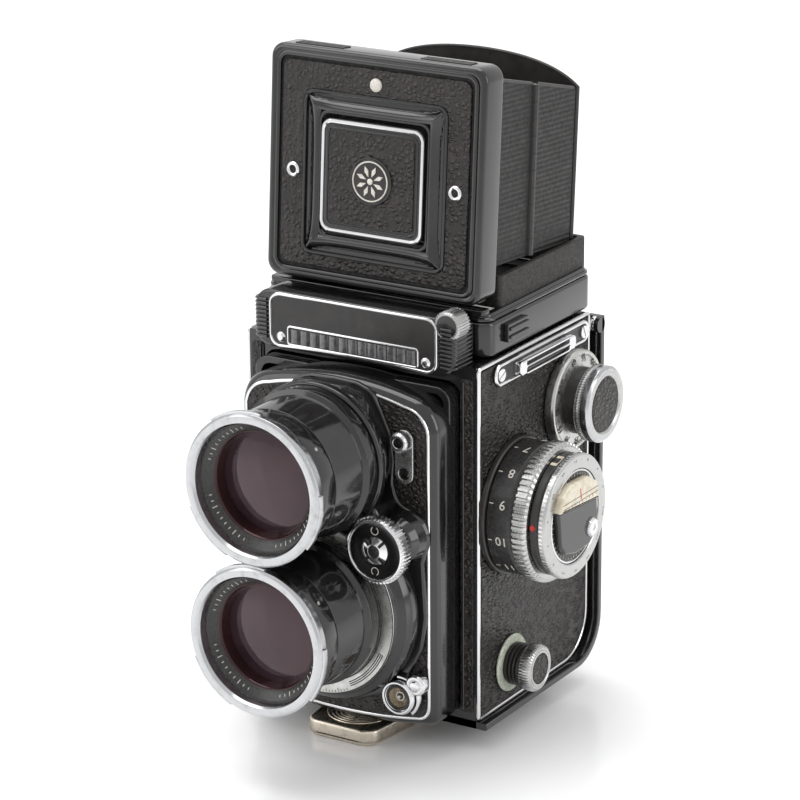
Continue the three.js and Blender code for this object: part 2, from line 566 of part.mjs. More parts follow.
// ---- Focusing hood ----
{
  const base = box(-38.2, 38.2, -31.2, 30.4, BODY_TOP + GAP, 128.2)
    .subtract(box(-40, 40, 25, 31, 100, 119.6));
  const step = box(-37.2, 37.2, -31.2, 29.9, 127, 130.4);
  const skirt = box(-SKIRT_HALF, SKIRT_HALF, -21, SKIRT_REAR, 130, SKIRT_TOP);
  const front = box(-SKIRT_HALF, SKIRT_HALF, -31.2, -20, 128, 131.8);
  const well = box(-WELL_HALF, WELL_HALF, -28.4, 27.6, 100, 150);
  let frame = union(base, step, skirt, front).subtract(well);
  // The screen is held by a ledge under the well.
  frame = frame.add(box(-WELL_HALF - 1, WELL_HALF + 1, -29, 28, BODY_TOP + GAP, 119)
    .subtract(box(-28, 28, -28, 25.6, 100, 125)));
  frame = frame.subtract(box(-40, 40, 25.4, 31, 100, 119.6));
  for (const side of [1, -1]) {
    const ear = [[-30.8, 131], [-28.2, 131], [-22, 141.5], [-22, 146], [-28, 146], [-30.8, 141.5]];
    const [from, to] = side > 0 ? [28, 31] : [-31, -28];
    frame = frame.add(prism("x", ear, from, to));
    frame = frame.add(box(from, to, -30.8, -28, 126, 132));
    const [pin, end] = side > 0 ? [24, 29] : [-29, -24];
    frame = frame.add(disc("x", 1.25, pin, end, HINGE_Y, HINGE_Z, 12));
    const [guide, edge] = side > 0 ? [37.4, 40] : [-40, -37.4];
    frame = frame.subtract(box(guide, edge, -25.5, -8.5, 120.4, 126.6)); // catch track
  }
  node("hood_frame", frame, PAINT);
}
for (const side of [1, -1]) {
  const span = (a, b) => [Math.min(side * a, side * b), Math.max(side * a, side * b)];
  let grip = box(...span(37.7, 39.6), -22.6, -11, 120.8, 126.2);
  for (let rib = 0; rib < 5; rib++) {
    const y = -21.4 + rib * 2.2;
    grip = grip.add(box(...span(39.2, 40.4), y, y + 1.1, 121.2, 125.8));
  }
  node(side > 0 ? "hood_catch_right" : "hood_catch_left", grip, PAINT);
}

// The lid and the folding walls are drawn from the lid hinge and lean back together.
const hood = new THREE.Group();
hood.position.set(0, HINGE_Y, HINGE_Z);
hood.rotation.x = -LEAN;
camera.add(hood);

const FLAP = { half: 17.4, bottom: 3.8, top: 38.6 };
const PLATE_BACK = -6.6;
{
  const tray = slab("y", LID_DOWN, LID_UP, -LID_HALF, LID_HALF, 4, -9, -9 + LID_DEPTH);
  const inner = LID_HALF - 1.7;
  const hollow = slab("y", LID_DOWN + 1.8, LID_UP - 1.8, -inner, inner, 2.6, PLATE_BACK, 6);
  const opening = slab("y", FLAP.bottom, FLAP.top, -FLAP.half, FLAP.half, 3, -12, 0);
  let lid = tray.subtract(hollow).subtract(opening);
  for (const side of [1, -1]) {
    const span = (a, b) => [Math.min(side * a, side * b), Math.max(side * a, side * b)];
    lid = lid.subtract(box(...span(27.4, 31.6), PLATE_BACK, 6, LID_DOWN - 1, LID_DOWN + 4)); // ear notch
    const lug = disc("x", 2.6, ...span(24.6, 27.2), 0, 0, 14)
      .add(box(...span(24.6, 27.2), PLATE_BACK - 0.5, 0, -2.6, 2.6))
      .subtract(disc("x", 1.6, 20, 30, 0, 0, 12)).subtract(disc("x", 1.6, -30, -20, 0, 0, 12));
    lid = lid.add(lug);
  }
  node("hood_lid", lid, LEATHER, hood);
}
{
  const half = FLAP.half - 0.4;
  const panel = slab("y", FLAP.bottom + 0.7, FLAP.top - 0.4, -half, half, 2.6, -9.8, -7.6);
  node("finder_flap", panel, LEATHER, hood);
}

const MAGNIFIER = { pivotUp: 44, r: 11 };
{
  const ring = tube("z", MAGNIFIER.r, 9, MAGNIFIER.pivotUp - 1.2, MAGNIFIER.pivotUp + 1.2, 0, 16, 24);
  const arm = box(-4, 4, -5.6, 6.6, MAGNIFIER.pivotUp - 1.2, MAGNIFIER.pivotUp + 1.2);
  const glass = turned("z", [[0, MAGNIFIER.pivotUp - 1.6], [7, MAGNIFIER.pivotUp - 1.1],
    [9.4, MAGNIFIER.pivotUp - 0.5], [9.4, MAGNIFIER.pivotUp + 0.5], [7, MAGNIFIER.pivotUp + 1.1],
    [0, MAGNIFIER.pivotUp + 1.6]], 0, 16, 24);
  node("magnifier", union(ring, arm, glass), PAINT, hood);
}

const LEAF_START = -1; // the front hinge line of the walls, behind the lid hinge
const leafTop = (y) => LEAF_TOP - LEAF_SLOPE * (y - LEAF_START);
for (const side of [1, -1]) {
  const span = (a, b) => [Math.min(side * a, side * b), Math.max(side * a, side * b)];
  const hand = side > 0 ? "right" : "left";
  const start = LEAF_START + 0.6;
  const middle = LEAF_START + LEAF_LENGTH;
  const end = middle + LEAF_LENGTH - 0.8;
  const leaf = (y0, y1, down0, down1) => {
    const outline = [[y0, down0], [y1, down1], [y1, leafTop(y1)], [y0, leafTop(y0)]];
    return prism("x", outline, ...span(LEAF_X - 0.4, LEAF_X + 0.4));
  };
  const barrel = disc("z", 0.8, -1, leafTop(middle) - 1, side * (LEAF_X + 0.9), middle, 8);
  const half = box(...span(LEAF_X - 3, LEAF_X + 3), middle + 0.15, middle + 4, -10, 60);
  node(`hood_wall_front_${hand}`, leaf(start, middle - 0.2, -1.6, -1.6)
    .add(barrel.subtract(half)), PAINT, hood);
  node(`hood_wall_rear_${hand}`, leaf(middle + 1.1, end, -1.6, 1.4), PAINT, hood);
}
{
  const y = LEAF_START + 2 * LEAF_LENGTH;
  const arch = new THREE.Shape(); // points are [z, x]
  const half = LEAF_X + 0.3;
  arch.moveTo(1, -half);
  const corner = leafTop(y);
  arch.lineTo(1, half);
  arch.lineTo(corner, half);
  arch.quadraticCurveTo(52, half - 10, 52, 0);
  arch.quadraticCurveTo(52, -half + 10, corner, -half);
  node("hood_rear_wall", prism("y", arch, y + 0.45, y + 1.2, 6), PAINT, hood);
}

// ---- Back door with tripod seat and latch ----
function doorOutline() {
  const shape = new THREE.Shape(); // L-shaped section, points are [y, z]
  const thick = 2.1;
  shape.moveTo(BODY_FRONT, DOOR_BOTTOM);
  shape.lineTo(DOOR_REAR - CORNER_R, DOOR_BOTTOM);
  shape.absarc(DOOR_REAR - CORNER_R, DOOR_BOTTOM + CORNER_R, CORNER_R, -Math.PI / 2, 0);
  shape.lineTo(DOOR_REAR, 106.8);
  shape.lineTo(DOOR_REAR - thick, 106.8);
  shape.lineTo(DOOR_REAR - thick, DOOR_BOTTOM + CORNER_R);
  shape.absarc(DOOR_REAR - CORNER_R, DOOR_BOTTOM + CORNER_R, CORNER_R - thick, 0, -Math.PI / 2, true);
  shape.lineTo(DOOR_REAR - CORNER_R, DOOR_BOTTOM + thick);
  shape.lineTo(BODY_FRONT, DOOR_BOTTOM + thick);
  return shape;
}
const TRIPOD = { y: -8, r: 17 };
{
  let door = prism("x", doorOutline(), -BODY_HALF, BODY_HALF, 8);
  door = door.subtract(disc("z", 5.4, 0, 20, 0, TRIPOD.y, 20));
  for (const side of [1, -1]) {
    const [from, to] = side > 0 ? [26, 35] : [-35, -26];
    const [inner, outer] = side > 0 ? [39.6, 42] : [-42, -39.6];
    door = union(
      door,
      disc("x", 2.2, from, to, DOOR_HINGE_Y, DOOR_HINGE_Z, 14),
      box(from, to, DOOR_REAR - 3.3, DOOR_REAR, 105.5, DOOR_HINGE_Z),
      disc("x", 2.4, inner, outer, DOOR_HINGE_Y, DOOR_HINGE_Z, 14),
    );
  }
  door = door.add(disc("x", 1.05, -40, 40, DOOR_HINGE_Y, DOOR_HINGE_Z, 12)); // hinge pin with its two heads
  node("back_door", door, LEATHER);
  const boss = [
    [3.2, 0], [TRIPOD.r, 0], [TRIPOD.r, DOOR_BOTTOM - GAP], [5, DOOR_BOTTOM - GAP], [5, 8.6],
    [3.2, 8.6], [3.2, 0],
  ];
  node("tripod_seat", turned("z", boss, 0, TRIPOD.y, 28), NICKEL);
  node("pressure_plate", box(-31, 31, 27.12, 27.9, 22, 75.4), PAINT);
}
{
  const latch = prism("z", [[-11.2, -53.5], [11.2, -53.5], [14.5, -28], [-14.5, -28]], 0, 5.2);
  node("bottom_latch", latch.subtract(disc("z", TRIPOD.r + 0.5, -1, 7, 0, TRIPOD.y, 24)), NICKEL);
}

export default camera;
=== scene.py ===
"""Looks of a twin lens reflex camera with two long lenses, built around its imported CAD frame.

Sizes are millimetres in local frames and become metres when a mesh is made.
"""

import json
import math

import bmesh
import bpy
from mathutils import Matrix, Vector


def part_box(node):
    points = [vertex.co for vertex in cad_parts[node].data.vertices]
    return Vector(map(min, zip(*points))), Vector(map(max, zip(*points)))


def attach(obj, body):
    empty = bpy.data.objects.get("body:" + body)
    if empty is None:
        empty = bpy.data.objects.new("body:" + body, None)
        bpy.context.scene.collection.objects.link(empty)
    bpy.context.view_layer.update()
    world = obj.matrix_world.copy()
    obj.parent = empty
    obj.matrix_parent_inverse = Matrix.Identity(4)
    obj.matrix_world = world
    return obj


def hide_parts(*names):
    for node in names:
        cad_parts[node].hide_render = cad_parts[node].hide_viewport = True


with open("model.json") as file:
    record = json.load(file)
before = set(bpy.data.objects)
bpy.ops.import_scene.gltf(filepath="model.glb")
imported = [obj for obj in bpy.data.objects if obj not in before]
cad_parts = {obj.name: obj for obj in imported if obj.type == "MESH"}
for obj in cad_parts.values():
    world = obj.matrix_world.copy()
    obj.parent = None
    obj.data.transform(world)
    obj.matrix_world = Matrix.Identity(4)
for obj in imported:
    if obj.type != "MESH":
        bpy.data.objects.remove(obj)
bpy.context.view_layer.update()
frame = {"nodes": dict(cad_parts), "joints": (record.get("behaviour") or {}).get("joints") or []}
MM = 0.001


def low(node):
    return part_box(node)[0] / MM


def high(node):
    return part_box(node)[1] / MM


def middle(node):
    return (low(node) + high(node)) / 2


# ---------------------------------------------------------------- local frames
def basis(u, v, w, origin=(0, 0, 0)):
    """A matrix from local (u, v, w) to the row frame, in millimetres."""
    matrix = Matrix((u, v, w)).transposed().to_4x4()
    matrix.translation = origin
    return matrix


def shifted(matrix, u=0.0, v=0.0, w=0.0, turn=0.0):
    return matrix @ Matrix.Translation((u, v, w)) @ Matrix.Rotation(math.radians(turn), 4, "Z")


SIDES = (("right", 1), ("left", -1))
FRONT = basis((1, 0, 0), (0, 0, 1), (0, -1, 0))  # u = x, v = z, w = -y
RIGHT = basis((0, 1, 0), (0, 0, 1), (1, 0, 0))  # u = y, v = z, w = x
LEFT = basis((0, -1, 0), (0, 0, 1), (-1, 0, 0))  # u = -y, v = z, w = -x
TOP = basis((1, 0, 0), (0, 1, 0), (0, 0, 1))
BACK = basis((-1, 0, 0), (0, 0, 1), (0, 1, 0))

# The lid's hinge and lean come from the record, so the hood is drawn in the lid's own frame.
JOINTS = {joint["name"]: joint for joint in frame["joints"]}
HINGE = Vector(JOINTS["hood_lid_fold"]["pos_m"]) / MM
LEAF_AXIS = Vector(JOINTS["wall_front_right_fold"]["axis"]).normalized()
LID = basis((1, 0, 0), LEAF_AXIS, Vector((1, 0, 0)).cross(LEAF_AXIS), HINGE)  # u = x, v = up the lid, w = out
# The side leaves are drawn with u = back from the lid, v = up and w = x.
HOOD_RIGHT = LID @ basis((0, 0, -1), (0, 1, 0), (1, 0, 0))
HOOD = {"right": HOOD_RIGHT, "left": shifted(HOOD_RIGHT, w=-66.0)}


# ---------------------------------------------------------------- outlines
def circle(r, u=0.0, v=0.0, count=48):
    return [(u + r * math.cos(2 * math.pi * i / count), v + r * math.sin(2 * math.pi * i / count))
            for i in range(count)]


def arc(r, start, end, u=0.0, v=0.0, count=24):
    """Points on an arc between two angles in degrees."""
    angles = [math.radians(start + (end - start) * i / count) for i in range(count + 1)]
    return [(u + r * math.cos(a), v + r * math.sin(a)) for a in angles]


def filleted(points, radii, closed=True, steps=6):
    """The outline with each corner replaced by an arc of its radius."""
    if isinstance(radii, (int, float)):
        radii = [radii] * len(points)
    out = []
    count = len(points)
    for i, (point, r) in enumerate(zip(points, radii)):
        here = Vector(point)
        if r <= 0 or (not closed and i in (0, count - 1)):
            out.append(tuple(here))
            continue
        back = Vector(points[i - 1]) - here
        ahead = Vector(points[(i + 1) % count]) - here
        half = back.angle(ahead) / 2
        if half > 1.55 or min(back.length, ahead.length) < 1e-4:
            out.append(tuple(here))
            continue
        reach = min(r / math.tan(half), back.length * 0.49, ahead.length * 0.49)
        r_used = reach * math.tan(half)
        centre = here + (back.normalized() + ahead.normalized()).normalized() * (r_used / math.sin(half))
        start = here + back.normalized() * reach - centre
        end = here + ahead.normalized() * reach - centre
        for step in range(steps + 1):
            out.append(tuple(centre + start.slerp(end, step / steps).normalized() * r_used))
    return out


def rounded_rect(u0, u1, v0, v1, r, steps=6):
    return filleted([(u0, v0), (u1, v0), (u1, v1), (u0, v1)], r, steps=steps)


def softened(profile, r=0.25):
    """A turned profile with small rounds on its corners."""
    closed = profile[0] == profile[-1]
    if closed:
        soft = filleted(profile[:-1], r, True, 3)
        return soft + [soft[0]]
    return filleted(profile, r, False, 3)


# ---------------------------------------------------------------- pieces
def finish_piece(name, mesh, material, body, replaces=(), slot=None, angle=32, bevel=0.0, segments=2):
    """Turns a mesh in millimetres of the row frame into a piece that rides on a body."""
    mesh.transform(Matrix.Scale(MM, 4))
    mesh.validate()
    obj = bpy.data.objects.new(name, mesh)
    bpy.context.scene.collection.objects.link(obj)
    mesh.materials.append(material)
    for polygon in mesh.polygons:
        polygon.use_smooth = True
    if bevel:
        modifier = obj.modifiers.new("Edges", "BEVEL")
        modifier.width = bevel * MM
        modifier.segments = segments
        modifier.limit_method = "ANGLE"
        modifier.angle_limit = math.radians(angle)
        modifier.harden_normals = True
    else:
        mesh.set_sharp_from_angle(angle=math.radians(angle))
    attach(obj, body)
    if replaces:
        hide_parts(*([replaces] if isinstance(replaces, str) else replaces))
    return obj


def mesh_of(name, verts, faces):
    """A mesh with its faces turned outwards."""
    mesh = bpy.data.meshes.new(name)
    mesh.from_pydata([tuple(v) for v in verts], [], faces)
    work = bmesh.new()
    work.from_mesh(mesh)
    bmesh.ops.recalc_face_normals(work, faces=work.faces)
    work.to_mesh(mesh)
    work.free()
    return mesh


def meshed(curve):
    """The mesh of a curve, which is removed again."""
    holder = bpy.data.objects.new(curve.name, curve)
    mesh = bpy.data.meshes.new_from_object(holder)
    mesh.materials.clear()
    bpy.data.objects.remove(holder)
    bpy.data.curves.remove(curve)
    return mesh


def joined(name, meshes):
    work = bmesh.new()
    for mesh in meshes:
        work.from_mesh(mesh)
        bpy.data.meshes.remove(mesh)
    mesh = bpy.data.meshes.new(name)
    work.to_mesh(mesh)
    work.free()
    return mesh


def group(name, meshes, material, body, **options):
    """One piece of several meshes."""
    return finish_piece(name, joined(name, meshes), material, body, **options)


def lathe_mesh(name, at, profile, segments=96):
    """A turned mesh: profile points are (radius, w) about the local w axis."""
    closed = profile[0] == profile[-1]
    points = profile[:-1] if closed else profile
    verts, rings = [], []
    for r, w in points:
        count = 1 if r < 1e-6 else segments
        rings.append(range(len(verts), len(verts) + count))
        for i in range(count):
            a = 2 * math.pi * i / segments
            verts.append(at @ Vector((r * math.cos(a), r * math.sin(a), w)))
    faces = []
    pairs = list(zip(rings, rings[1:]))
    if closed:
        pairs.append((rings[-1], rings[0]))
    for a, b in pairs:
        for i in range(segments):
            j = (i + 1) % segments
            corners = [a[i % len(a)], a[j % len(a)], b[j % len(b)], b[i % len(b)]]
            face = list(dict.fromkeys(corners))
            if len(face) > 2:
                faces.append(face)
    return mesh_of(name, verts, faces)


def lathe(name, at, profile, material, body, soft=0.25, segments=96, **options):
    profile = softened(profile, soft) if soft else profile
    return finish_piece(name, lathe_mesh(name, at, profile, segments), material, body, **options)


def plate_mesh(name, at, loops, w0, w1, bevel=0.0, resolution=2):
    """A flat plate between w0 and w1 with outlines and holes, and rounded edges."""
    curve = bpy.data.curves.new(name, "CURVE")
    curve.dimensions = "2D"
    curve.fill_mode = "BOTH"
    for loop in loops:
        spline = curve.splines.new("POLY")
        spline.points.add(len(loop) - 1)
        for point, (u, v) in zip(spline.points, loop):
            point.co = (u, v, 0, 1)
        spline.use_cyclic_u = True
    curve.extrude = max((w1 - w0) / 2 - bevel, 0.001)
    curve.bevel_depth = bevel
    curve.bevel_resolution = resolution
    curve.offset = -bevel
    mesh = meshed(curve)
    mesh.transform(at @ Matrix.Translation((0, 0, (w0 + w1) / 2)))
    return mesh


def plate(name, at, loops, w0, w1, material, body, bevel=0.0, resolution=2, **options):
    return finish_piece(name, plate_mesh(name, at, loops, w0, w1, bevel, resolution), material, body,
                        **options)


def bead_mesh(name, at, points, r, closed=False, flat=1.0):
    """A round bead along points in the local frame; flat below 1 squashes it towards the surface."""
    curve = bpy.data.curves.new(name, "CURVE")
    curve.dimensions = "3D"
    curve.bevel_depth = r
    curve.bevel_resolution = 3
    curve.use_fill_caps = True
    spline = curve.splines.new("POLY")
    spline.points.add(len(points) - 1)
    base = points[0][2]
    for point, (u, v, w) in zip(spline.points, points):
        point.co = (u, v, w - base, 1)
    spline.use_cyclic_u = closed
    mesh = meshed(curve)
    mesh.transform(at @ Matrix.Translation((0, 0, base)) @ Matrix.Diagonal((1, 1, flat, 1)))
    return mesh


def bead(name, at, points, r, material, body, closed=False, flat=1.0, **options):
    return finish_piece(name, bead_mesh(name, at, points, r, closed, flat), material, body, **options)


def on_plane(outline, w):
    return [(u, v, w) for u, v in outline]


def block_mesh(name, at, u0, u1, v0, v1, w0, w1):
    verts = [at @ Vector((u, v, w)) for w in (w0, w1) for v in (v0, v1) for u in (u0, u1)]
    faces = [(0, 1, 3, 2), (4, 5, 7, 6), (0, 1, 5, 4), (2, 3, 7, 6), (0, 2, 6, 4), (1, 3, 7, 5)]
    return mesh_of(name, verts, faces)


def block(name, at, u0, u1, v0, v1, w0, w1, material, body, bevel=0.2, **options):
    return finish_piece(name, block_mesh(name, at, u0, u1, v0, v1, w0, w1), material, body, bevel=bevel,
                        **options)


def knurled_mesh(name, at, inner, levels, count, depth, duty=0.5):
    """A ring with straight teeth: levels are (w, radius, share of the tooth depth)."""
    shape = [(0.0, 0), (0.14, 1), (duty, 1), (duty + 0.14, 0)]
    size = count * len(shape)
    verts = []
    for w, r, share in levels:
        for tooth in range(count):
            for phase, top in shape:
                a = 2 * math.pi * (tooth + phase) / count
                radius = r - (0 if top else depth * share)
                verts.append(at @ Vector((radius * math.cos(a), radius * math.sin(a), w)))
    for w in (levels[-1][0], levels[0][0]):
        for i in range(size):
            a = 2 * math.pi * (i // 4 + shape[i % 4][0]) / count
            verts.append(at @ Vector((inner * math.cos(a), inner * math.sin(a), w)))
    faces = []
    rows = len(levels) + 2
    for row in range(rows):
        for i in range(size):
            j = (i + 1) % size
            a, b = row * size, ((row + 1) % rows) * size
            faces.append((a + i, a + j, b + j, b + i))
    return mesh_of(name, verts, faces)


def knurled(name, at, inner, levels, count, depth, material, body, duty=0.5, **options):
    mesh = knurled_mesh(name, at, inner, levels, count, depth, duty)
    return finish_piece(name, mesh, material, body, **options)


def marks(name, items, place, material, body, size=2.0, raise_by=0.03, **options):
    """Plain numbers: items are (text, u, v, turn in degrees), and place maps (u, v, w) to the row frame."""
    meshes = []
    for text, u, v, turn in items:
        curve = bpy.data.curves.new(name, "FONT")
        curve.body = text
        curve.size = size
        curve.align_x = "CENTER"
        curve.align_y = "CENTER"
        curve.extrude = raise_by
        curve.resolution_u = 3
        mesh = meshed(curve)
        mesh.transform(Matrix.Translation((u, v, 0)) @ Matrix.Rotation(math.radians(turn), 4, "Z"))
        for vertex in mesh.vertices:
            vertex.co = place(*vertex.co)
        meshes.append(mesh)
    return finish_piece(name, joined(name, meshes), material, body, **options)


def flat_on(at, w):
    return lambda u, v, h: at @ Vector((u, v, w + h))


def around(at, r):
    """Maps u to degrees round the local w axis, v to a place along it and h to height over r."""
    def place(u, v, h):
        a = math.radians(u)
        return at @ Vector(((r + h) * math.cos(a), (r + h) * math.sin(a), v))
    return place


def screw(name, at, r, w, material, body, turn=30.0, height=0.5):
    """A slotted cheese-head screw, its head rising from w."""
    here = shifted(at, turn=turn)
    gap = 0.13 * r
    wide = math.degrees(math.asin(gap / r))
    halves = []
    for flip in (0, 180):
        edge = arc(r, wide + flip, 180 - wide + flip, count=16)
        halves.append(plate_mesh(name, here, [edge], w, w + height, 0.08))
    base = lathe_mesh(name, here, [(0, w), (r * 0.97, w), (r * 0.97, w + height * 0.45),
                                   (0, w + height * 0.45)], 32)
    return group(name, halves + [base], material, body)


# ---------------------------------------------------------------- materials
class Look:
    """A procedural material whose colour, roughness and bump come from nodes."""

    def __init__(self, name, **constants):
        self.material = bpy.data.materials.new(name)
        self.material.use_nodes = True
        self.nodes = self.material.node_tree.nodes
        self.links = self.material.node_tree.links
        self.shader = self.nodes["Principled BSDF"]
        for socket, value in constants.items():
            self.shader.inputs[socket.replace("_", " ")].default_value = value
        self.bumped = None
        coordinates = self.nodes.new("ShaderNodeTexCoord")
        self.where = coordinates.outputs["Object"]

    def node(self, kind, settings=None, **inputs):
        made = self.nodes.new("ShaderNode" + kind)
        for key, value in (settings or {}).items():
            setattr(made, key, value)
        for key, value in inputs.items():
            self.put(made.inputs[key.replace("_", " ")], value)
        return made

    def put(self, socket, value):
        if isinstance(value, bpy.types.NodeSocket):
            self.links.new(value, socket)
        else:
            socket.default_value = value

    def scaled(self, sx, sy=None, sz=None, source=None):
        """Coordinates in features per millimetre along each axis."""
        scale = Vector((sx, sy or sx, sz or sx)) / MM
        mapping = self.node("Mapping", Vector=source or self.where)
        mapping.inputs["Scale"].default_value = scale
        return mapping.outputs["Vector"]

    def noise(self, scale, detail=3.0, rough=0.5, vector=None, distortion=0.0):
        made = self.node("TexNoise", Vector=vector or self.scaled(scale), Scale=1.0, Detail=detail,
                         Roughness=rough, Distortion=distortion)
        return made.outputs["Fac"]

    def cells(self, scale, feature="F1", vector=None, smooth=0.0, randomness=1.0):
        settings = {"feature": feature}
        made = self.node("TexVoronoi", settings, Vector=vector or self.scaled(scale), Scale=1.0,
                         Randomness=randomness)
        if feature == "SMOOTH_F1":
            made.inputs["Smoothness"].default_value = smooth
        return made.outputs["Distance"]

    def remap(self, value, a, b, low_value, high_value):
        made = self.node("MapRange", {"interpolation_type": "SMOOTHSTEP"}, Value=value)
        for key, number in zip(("From Min", "From Max", "To Min", "To Max"), (a, b, low_value, high_value)):
            made.inputs[key].default_value = number
        return made.outputs["Result"]

    def maths(self, operation, a, b=0.5):
        made = self.node("Math", {"operation": operation})
        self.put(made.inputs[0], a)
        self.put(made.inputs[1], b)
        return made.outputs["Value"]

    def mixed(self, factor, a, b):
        made = self.node("Mix", {"data_type": "RGBA"})
        self.put(made.inputs[0], factor)
        for socket, value in ((made.inputs[6], a), (made.inputs[7], b)):
            self.put(socket, (*value, 1.0) if isinstance(value, tuple) else value)
        return made.outputs[2]

    def colour(self, value):
        self.put(self.shader.inputs["Base Color"], value)

    def rough(self, value):
        self.put(self.shader.inputs["Roughness"], value)

    def bump(self, height, depth_mm, strength=1.0):
        made = self.node("Bump", Height=height, Strength=strength, Distance=depth_mm * MM)
        if self.bumped is not None:
            self.links.new(self.bumped, made.inputs["Normal"])
        self.bumped = made.outputs["Normal"]
        self.links.new(self.bumped, self.shader.inputs["Normal"])

    def dusted(self, base, amount=0.03, tone=(0.34, 0.32, 0.30)):
        """Sparse pale specks of dust over a colour."""
        speck = self.cells(0.9)
        spot = self.remap(speck, amount, amount + 0.03, 1.0, 0.0)
        rare = self.remap(self.noise(0.37, 1.0), 0.52, 0.6, 0.0, 1.0)
        return self.mixed(self.maths("MULTIPLY", spot, rare), base, tone)


def paint(name, deep, worn, roughness, ripple=0.25, dust=0.03, coat=0.0):
    """Black enamel with slight ripple, uneven gloss and dust."""
    look = Look(name, Coat_Weight=coat, Coat_Roughness=0.05, Specular_IOR_Level=0.5)
    cloud = look.noise(0.12, 4.0, 0.6)
    tone = look.mixed(look.remap(cloud, 0.35, 0.7, 0.0, 1.0), deep, worn)
    look.colour(look.dusted(tone, dust) if dust else tone)
    look.rough(look.remap(look.noise(0.5, 5.0, 0.65), 0.3, 0.7, roughness * 0.8, roughness * 1.25))
    look.bump(look.noise(0.45, 2.0, 0.5), 0.02 * ripple)
    look.bump(look.noise(6.0, 2.0, 0.5), 0.004)
    return look.material


def leather(name, deep, lit_tip, grain, depth, roughness, stretch=(1.0, 1.0, 1.5)):
    """Pebbled leatherette: rounded grains parted by creases, with finer pores; its colour is painted darker
    in the creases and lighter on the grain tops, as painted shade and highlight.
    """
    look = Look(name, Specular_IOR_Level=0.45)
    drift = look.node("TexNoise", Vector=look.scaled(grain * 0.9), Scale=1.0, Detail=2.0).outputs["Color"]
    base = look.scaled(grain * stretch[0], grain * stretch[1], grain * stretch[2])
    bent = look.node("VectorMath", {"operation": "MULTIPLY_ADD"})
    look.put(bent.inputs[0], drift)
    bent.inputs[1].default_value = (0.9, 0.9, 0.9)
    look.put(bent.inputs[2], base)
    where = bent.outputs["Vector"]
    grains = look.cells(1.0, "SMOOTH_F1", where, 0.35)
    creases = look.cells(1.0, "DISTANCE_TO_EDGE", where)
    pebble = look.remap(grains, 0.05, 0.75, 1.0, 0.0)
    valley = look.remap(creases, 0.0, 0.16, 0.0, 1.0)
    height = look.maths("MULTIPLY", pebble, valley)
    broad = look.noise(grain * 0.25, 3.0, 0.55)
    # Painted shade and highlight: the colour follows the relief height, darker in the creases and lighter on
    # the grain tops.
    shade = look.remap(height, 0.05, 0.8, 0.0, 1.0)
    tone = look.mixed(shade, deep, lit_tip)
    tone = look.mixed(look.remap(broad, 0.4, 0.75, 0.0, 0.45), tone, tuple(1.5 * c for c in lit_tip))
    look.colour(look.dusted(tone, 0.035))
    look.rough(look.remap(height, 0.1, 0.8, roughness * 1.25, roughness * 0.8))
    look.bump(height, depth)
    look.bump(look.noise(grain * 5.0, 3.0, 0.6), depth * 0.12)
    return look.material


def metal(name, colour, tarnish, roughness, scratch=0.006, grain=(0.35, 0.35, 6.0), mottled=0.25):
    """Plated or turned metal with fine scratches, uneven polish and a little tarnish."""
    look = Look(name, Metallic=1.0)
    cloud = look.noise(0.35, 5.0, 0.65)
    look.colour(look.mixed(look.remap(cloud, 0.5, 0.78, 0.0, mottled), colour, tarnish))
    streak = look.noise(1.0, 4.0, 0.6, look.scaled(*grain))
    look.rough(look.remap(streak, 0.3, 0.72, roughness * 0.65, roughness * 1.35))
    look.bump(streak, scratch)
    return look.material


def glass(name, tint, spec_tint, ior, smear=0.02):
    """A coated dark glass face: its colour comes from a tinted reflection over a deep body."""
    look = Look(name, IOR=ior, Specular_Tint=(*spec_tint, 1.0), Coat_Weight=0.2, Coat_Roughness=0.02)
    cloud = look.noise(0.05, 3.0, 0.5)
    shade = look.remap(cloud, 0.4, 0.65, 0.0, 1.0)
    look.colour(look.dusted(look.mixed(shade, tint, tuple(0.55 * c for c in tint)), 0.02))
    look.rough(look.remap(look.noise(0.2, 4.0, 0.6), 0.4, 0.75, 0.01, 0.01 + smear))
    return look.material


ENAMEL = paint("gloss_black_enamel", (0.0065, 0.006, 0.006), (0.011, 0.010, 0.010), 0.13, 0.3, coat=0.4)
SATIN = paint("satin_black_enamel", (0.017, 0.0155, 0.015), (0.026, 0.0235, 0.022), 0.34, 0.5)
MATT = paint("matt_black_paint", (0.012, 0.0115, 0.011), (0.02, 0.018, 0.017), 0.62, 0.6)
INSIDE = paint("inner_matt_black", (0.006, 0.006, 0.006), (0.011, 0.010, 0.010), 0.75, 0.5, dust=0.0)
WRINKLE = leather("fine_wrinkle_paint", (0.010, 0.009, 0.0085), (0.026, 0.023, 0.021), 2.2, 0.05, 0.5,
                  (1, 1, 1))
LID_LEATHER = leather("lid_leatherette", (0.012, 0.010, 0.0092), (0.026, 0.0215, 0.0195), 0.55, 0.6, 0.36,
                      (1, 1, 1.3))
SIDE_LEATHER = leather("side_leatherette", (0.012, 0.010, 0.0092), (0.026, 0.0215, 0.0195), 0.6, 0.6, 0.34,
                       (1, 0.75, 1.35))
CHROME = metal("polished_chrome", (0.72, 0.72, 0.73), (0.50, 0.48, 0.45), 0.15)
BEZEL_CHROME = metal("worn_bezel_chrome", (0.50, 0.505, 0.515), (0.33, 0.33, 0.325), 0.2, 0.003,
                     (0.25, 0.25, 0.25), 0.8)
SATIN_CHROME = metal("satin_chrome", (0.50, 0.50, 0.495), (0.33, 0.32, 0.30), 0.27, 0.005)
ALUMINIUM = metal("turned_aluminium", (0.54, 0.54, 0.52), (0.36, 0.35, 0.31), 0.36, 0.006, (0.6, 0.6, 0.6),
                  0.5)
NICKEL = metal("champagne_nickel", (0.70, 0.63, 0.53), (0.48, 0.41, 0.32), 0.36, 0.012, (3.0, 0.25, 0.25),
               0.7)
STEEL = metal("worn_steel", (0.55, 0.54, 0.52), (0.30, 0.28, 0.26), 0.38, 0.01)
